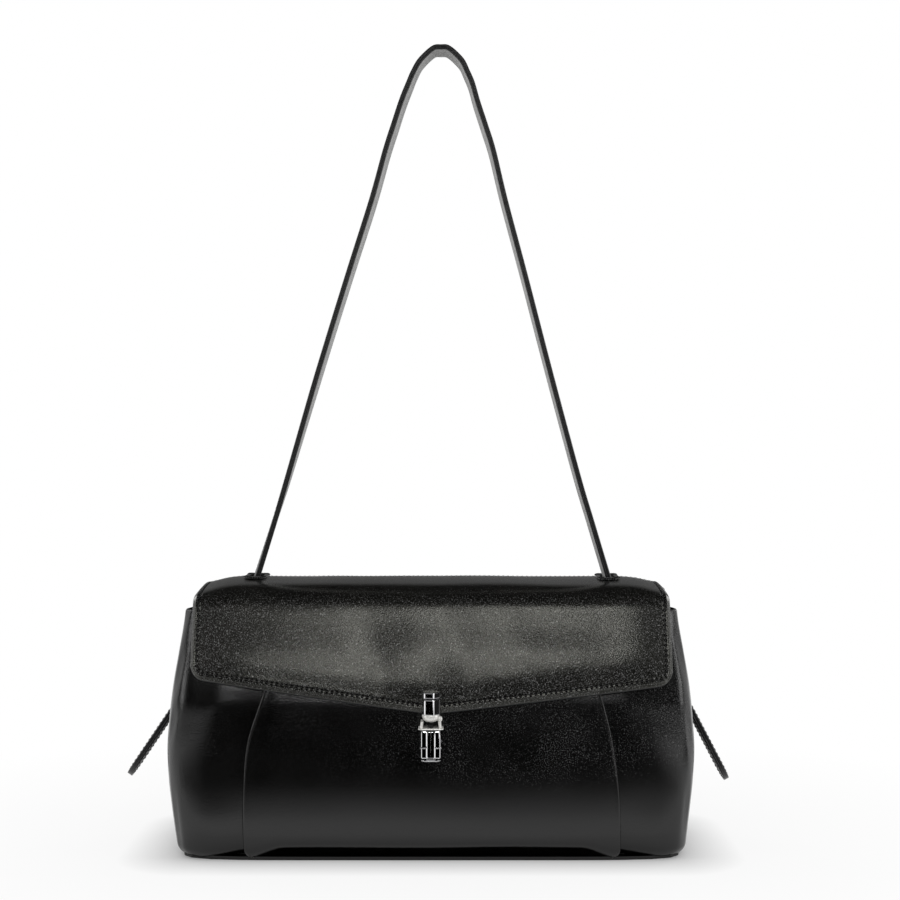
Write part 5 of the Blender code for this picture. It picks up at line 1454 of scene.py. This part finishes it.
def add_floor():
    """A pale floor that fades to the white of the backdrop away from the bag, keeps the bag's shadow, and is
    painted darker close round its footprint as contact shade, also seen in the bag's gloss.
    """
    made = Recipe("floor")
    made.paint(made.noise(3.0), 0.80, 0.82)
    made.set(Roughness=0.9, Specular_IOR_Level=0.1)
    beyond = made.place
    for operation, value in (("ABSOLUTE", None), ("SUBTRACT", FOOTPRINT_HALF), ("MAXIMUM", (0.0, 0.0, 0.0))):
        node = made.add("ShaderNodeVectorMath", operation=operation)
        made.join(beyond, node, 0)
        if value:
            node.inputs[1].default_value = value
        beyond = node.outputs[0]
    distance = made.add("ShaderNodeVectorMath", operation="LENGTH")
    made.join(beyond, distance, 0)
    # Painted shade: the white fades out close round the footprint, so the floor there, and its reflection in
    # the bag, is darker.
    near = made.span(distance.outputs["Value"], 0.0, FLOOR_NEAR_share, *FLOOR_PAINTED_SHADE)
    far = made.span(distance.outputs["Value"], 0.0, 1.0 - FLOOR_NEAR_share, *FLOOR_FADE)
    white = made.add("ShaderNodeEmission")
    mix = made.add("ShaderNodeMixShader")
    made.join(made.maths("MULTIPLY", seen_white(made.tree), made.maths("ADD", near, far)), mix, 0)
    made.join(made.shader.outputs[0], mix, 1)
    made.join(white.outputs[0], mix, 2)
    made.join(mix.outputs[0], made.tree.nodes["Material Output"], "Surface")
    add_card("floor", (-FLOOR_REACH, -FLOOR_REACH, 0.0), (FLOOR_REACH, FLOOR_REACH, 0.0), made.material)


def graded_card():
    """Black far from the bag, rising to the floor's own white beside it."""
    made = Recipe("graded_card")
    split = made.add("ShaderNodeSeparateXYZ")
    made.join(made.place, split, 0)
    near = made.span(split.outputs["Y"], 0.0, 1.0, *CARD_FADE)
    made.glow(made.maths("POWER", near, CARD_FADE_power))
    return made.material


def grey_card():
    """A dim grey behind the bag, for the gloss along its top."""
    made = Recipe("grey_card")
    made.glow(made.span(made.noise(2.0), *REAR_CARD_LEVEL))
    return made.material


def add_cards():
    """Studio cards that only the gloss of the leather and metal sees."""
    special = {"floor_card": graded_card(), "rear_card": grey_card()}
    for name, low, high in CARDS:
        card = add_card(name, low, high, special.get(name, CARD_BLACK))
        card.visible_camera = card.visible_diffuse = card.visible_shadow = card.visible_transmission = False


def add_world():
    """White where it is seen, and a plain dimmer level where it lights."""
    world = bpy.data.worlds.new("studio")
    bpy.context.scene.world = world
    world.use_nodes = True
    tree = world.node_tree
    level = tree.nodes.new("ShaderNodeMapRange")
    level.inputs["To Min"].default_value = WORLD_LEVEL
    level.inputs["To Max"].default_value = 1.0
    tree.links.new(seen_white(tree), level.inputs["Value"])
    tree.links.new(level.outputs["Result"], tree.nodes["Background"].inputs["Strength"])
    tree.nodes["Background"].inputs["Color"].default_value = (1.0, 1.0, 1.0, 1.0)


def add_lamps():
    for name, place, width, height, power in LAMPS:
        data = bpy.data.lights.new(name, "AREA")
        data.shape = "RECTANGLE"
        data.size, data.size_y = width, height
        data.energy = power
        lamp = linked(name, data)
        lamp.location = place
        lamp.rotation_euler = (Vector(LAMP_AIM) - Vector(place)).to_track_quat("-Z", "Y").to_euler()
        lamp.visible_camera = False


def add_camera():
    data = bpy.data.cameras.new("camera")
    data.lens = LENS_MM
    data.sensor_width = SENSOR_MM
    camera = linked("camera", data)
    camera.location = CAMERA_PLACE
    camera.rotation_euler = (math.radians(90.0), 0.0, 0.0)
    bpy.context.scene.camera = camera


dress_cad()
add_body()
flap = add_flap()
add_band()
add_flap_stitches(flap)
add_strap_arch()
add_strap_run("leather_run_left", -1.0)
add_strap_run("leather_run_right", 1.0)
add_strap_tail("leather_tail_left", -1.0, LEFT_TAIL_DEG)
add_strap_tail("leather_tail_right", 1.0, RIGHT_TAIL_DEG)
add_slot_binding("slot_binding_left", -1.0, flap)
add_slot_binding("slot_binding_right", 1.0, flap)
add_knob()
add_bowl()
add_fork()
add_plates()
add_housing()
add_floor()
add_cards()
add_world()
add_lamps()
add_camera()
bpy.context.scene.view_settings.view_transform = "Standard"
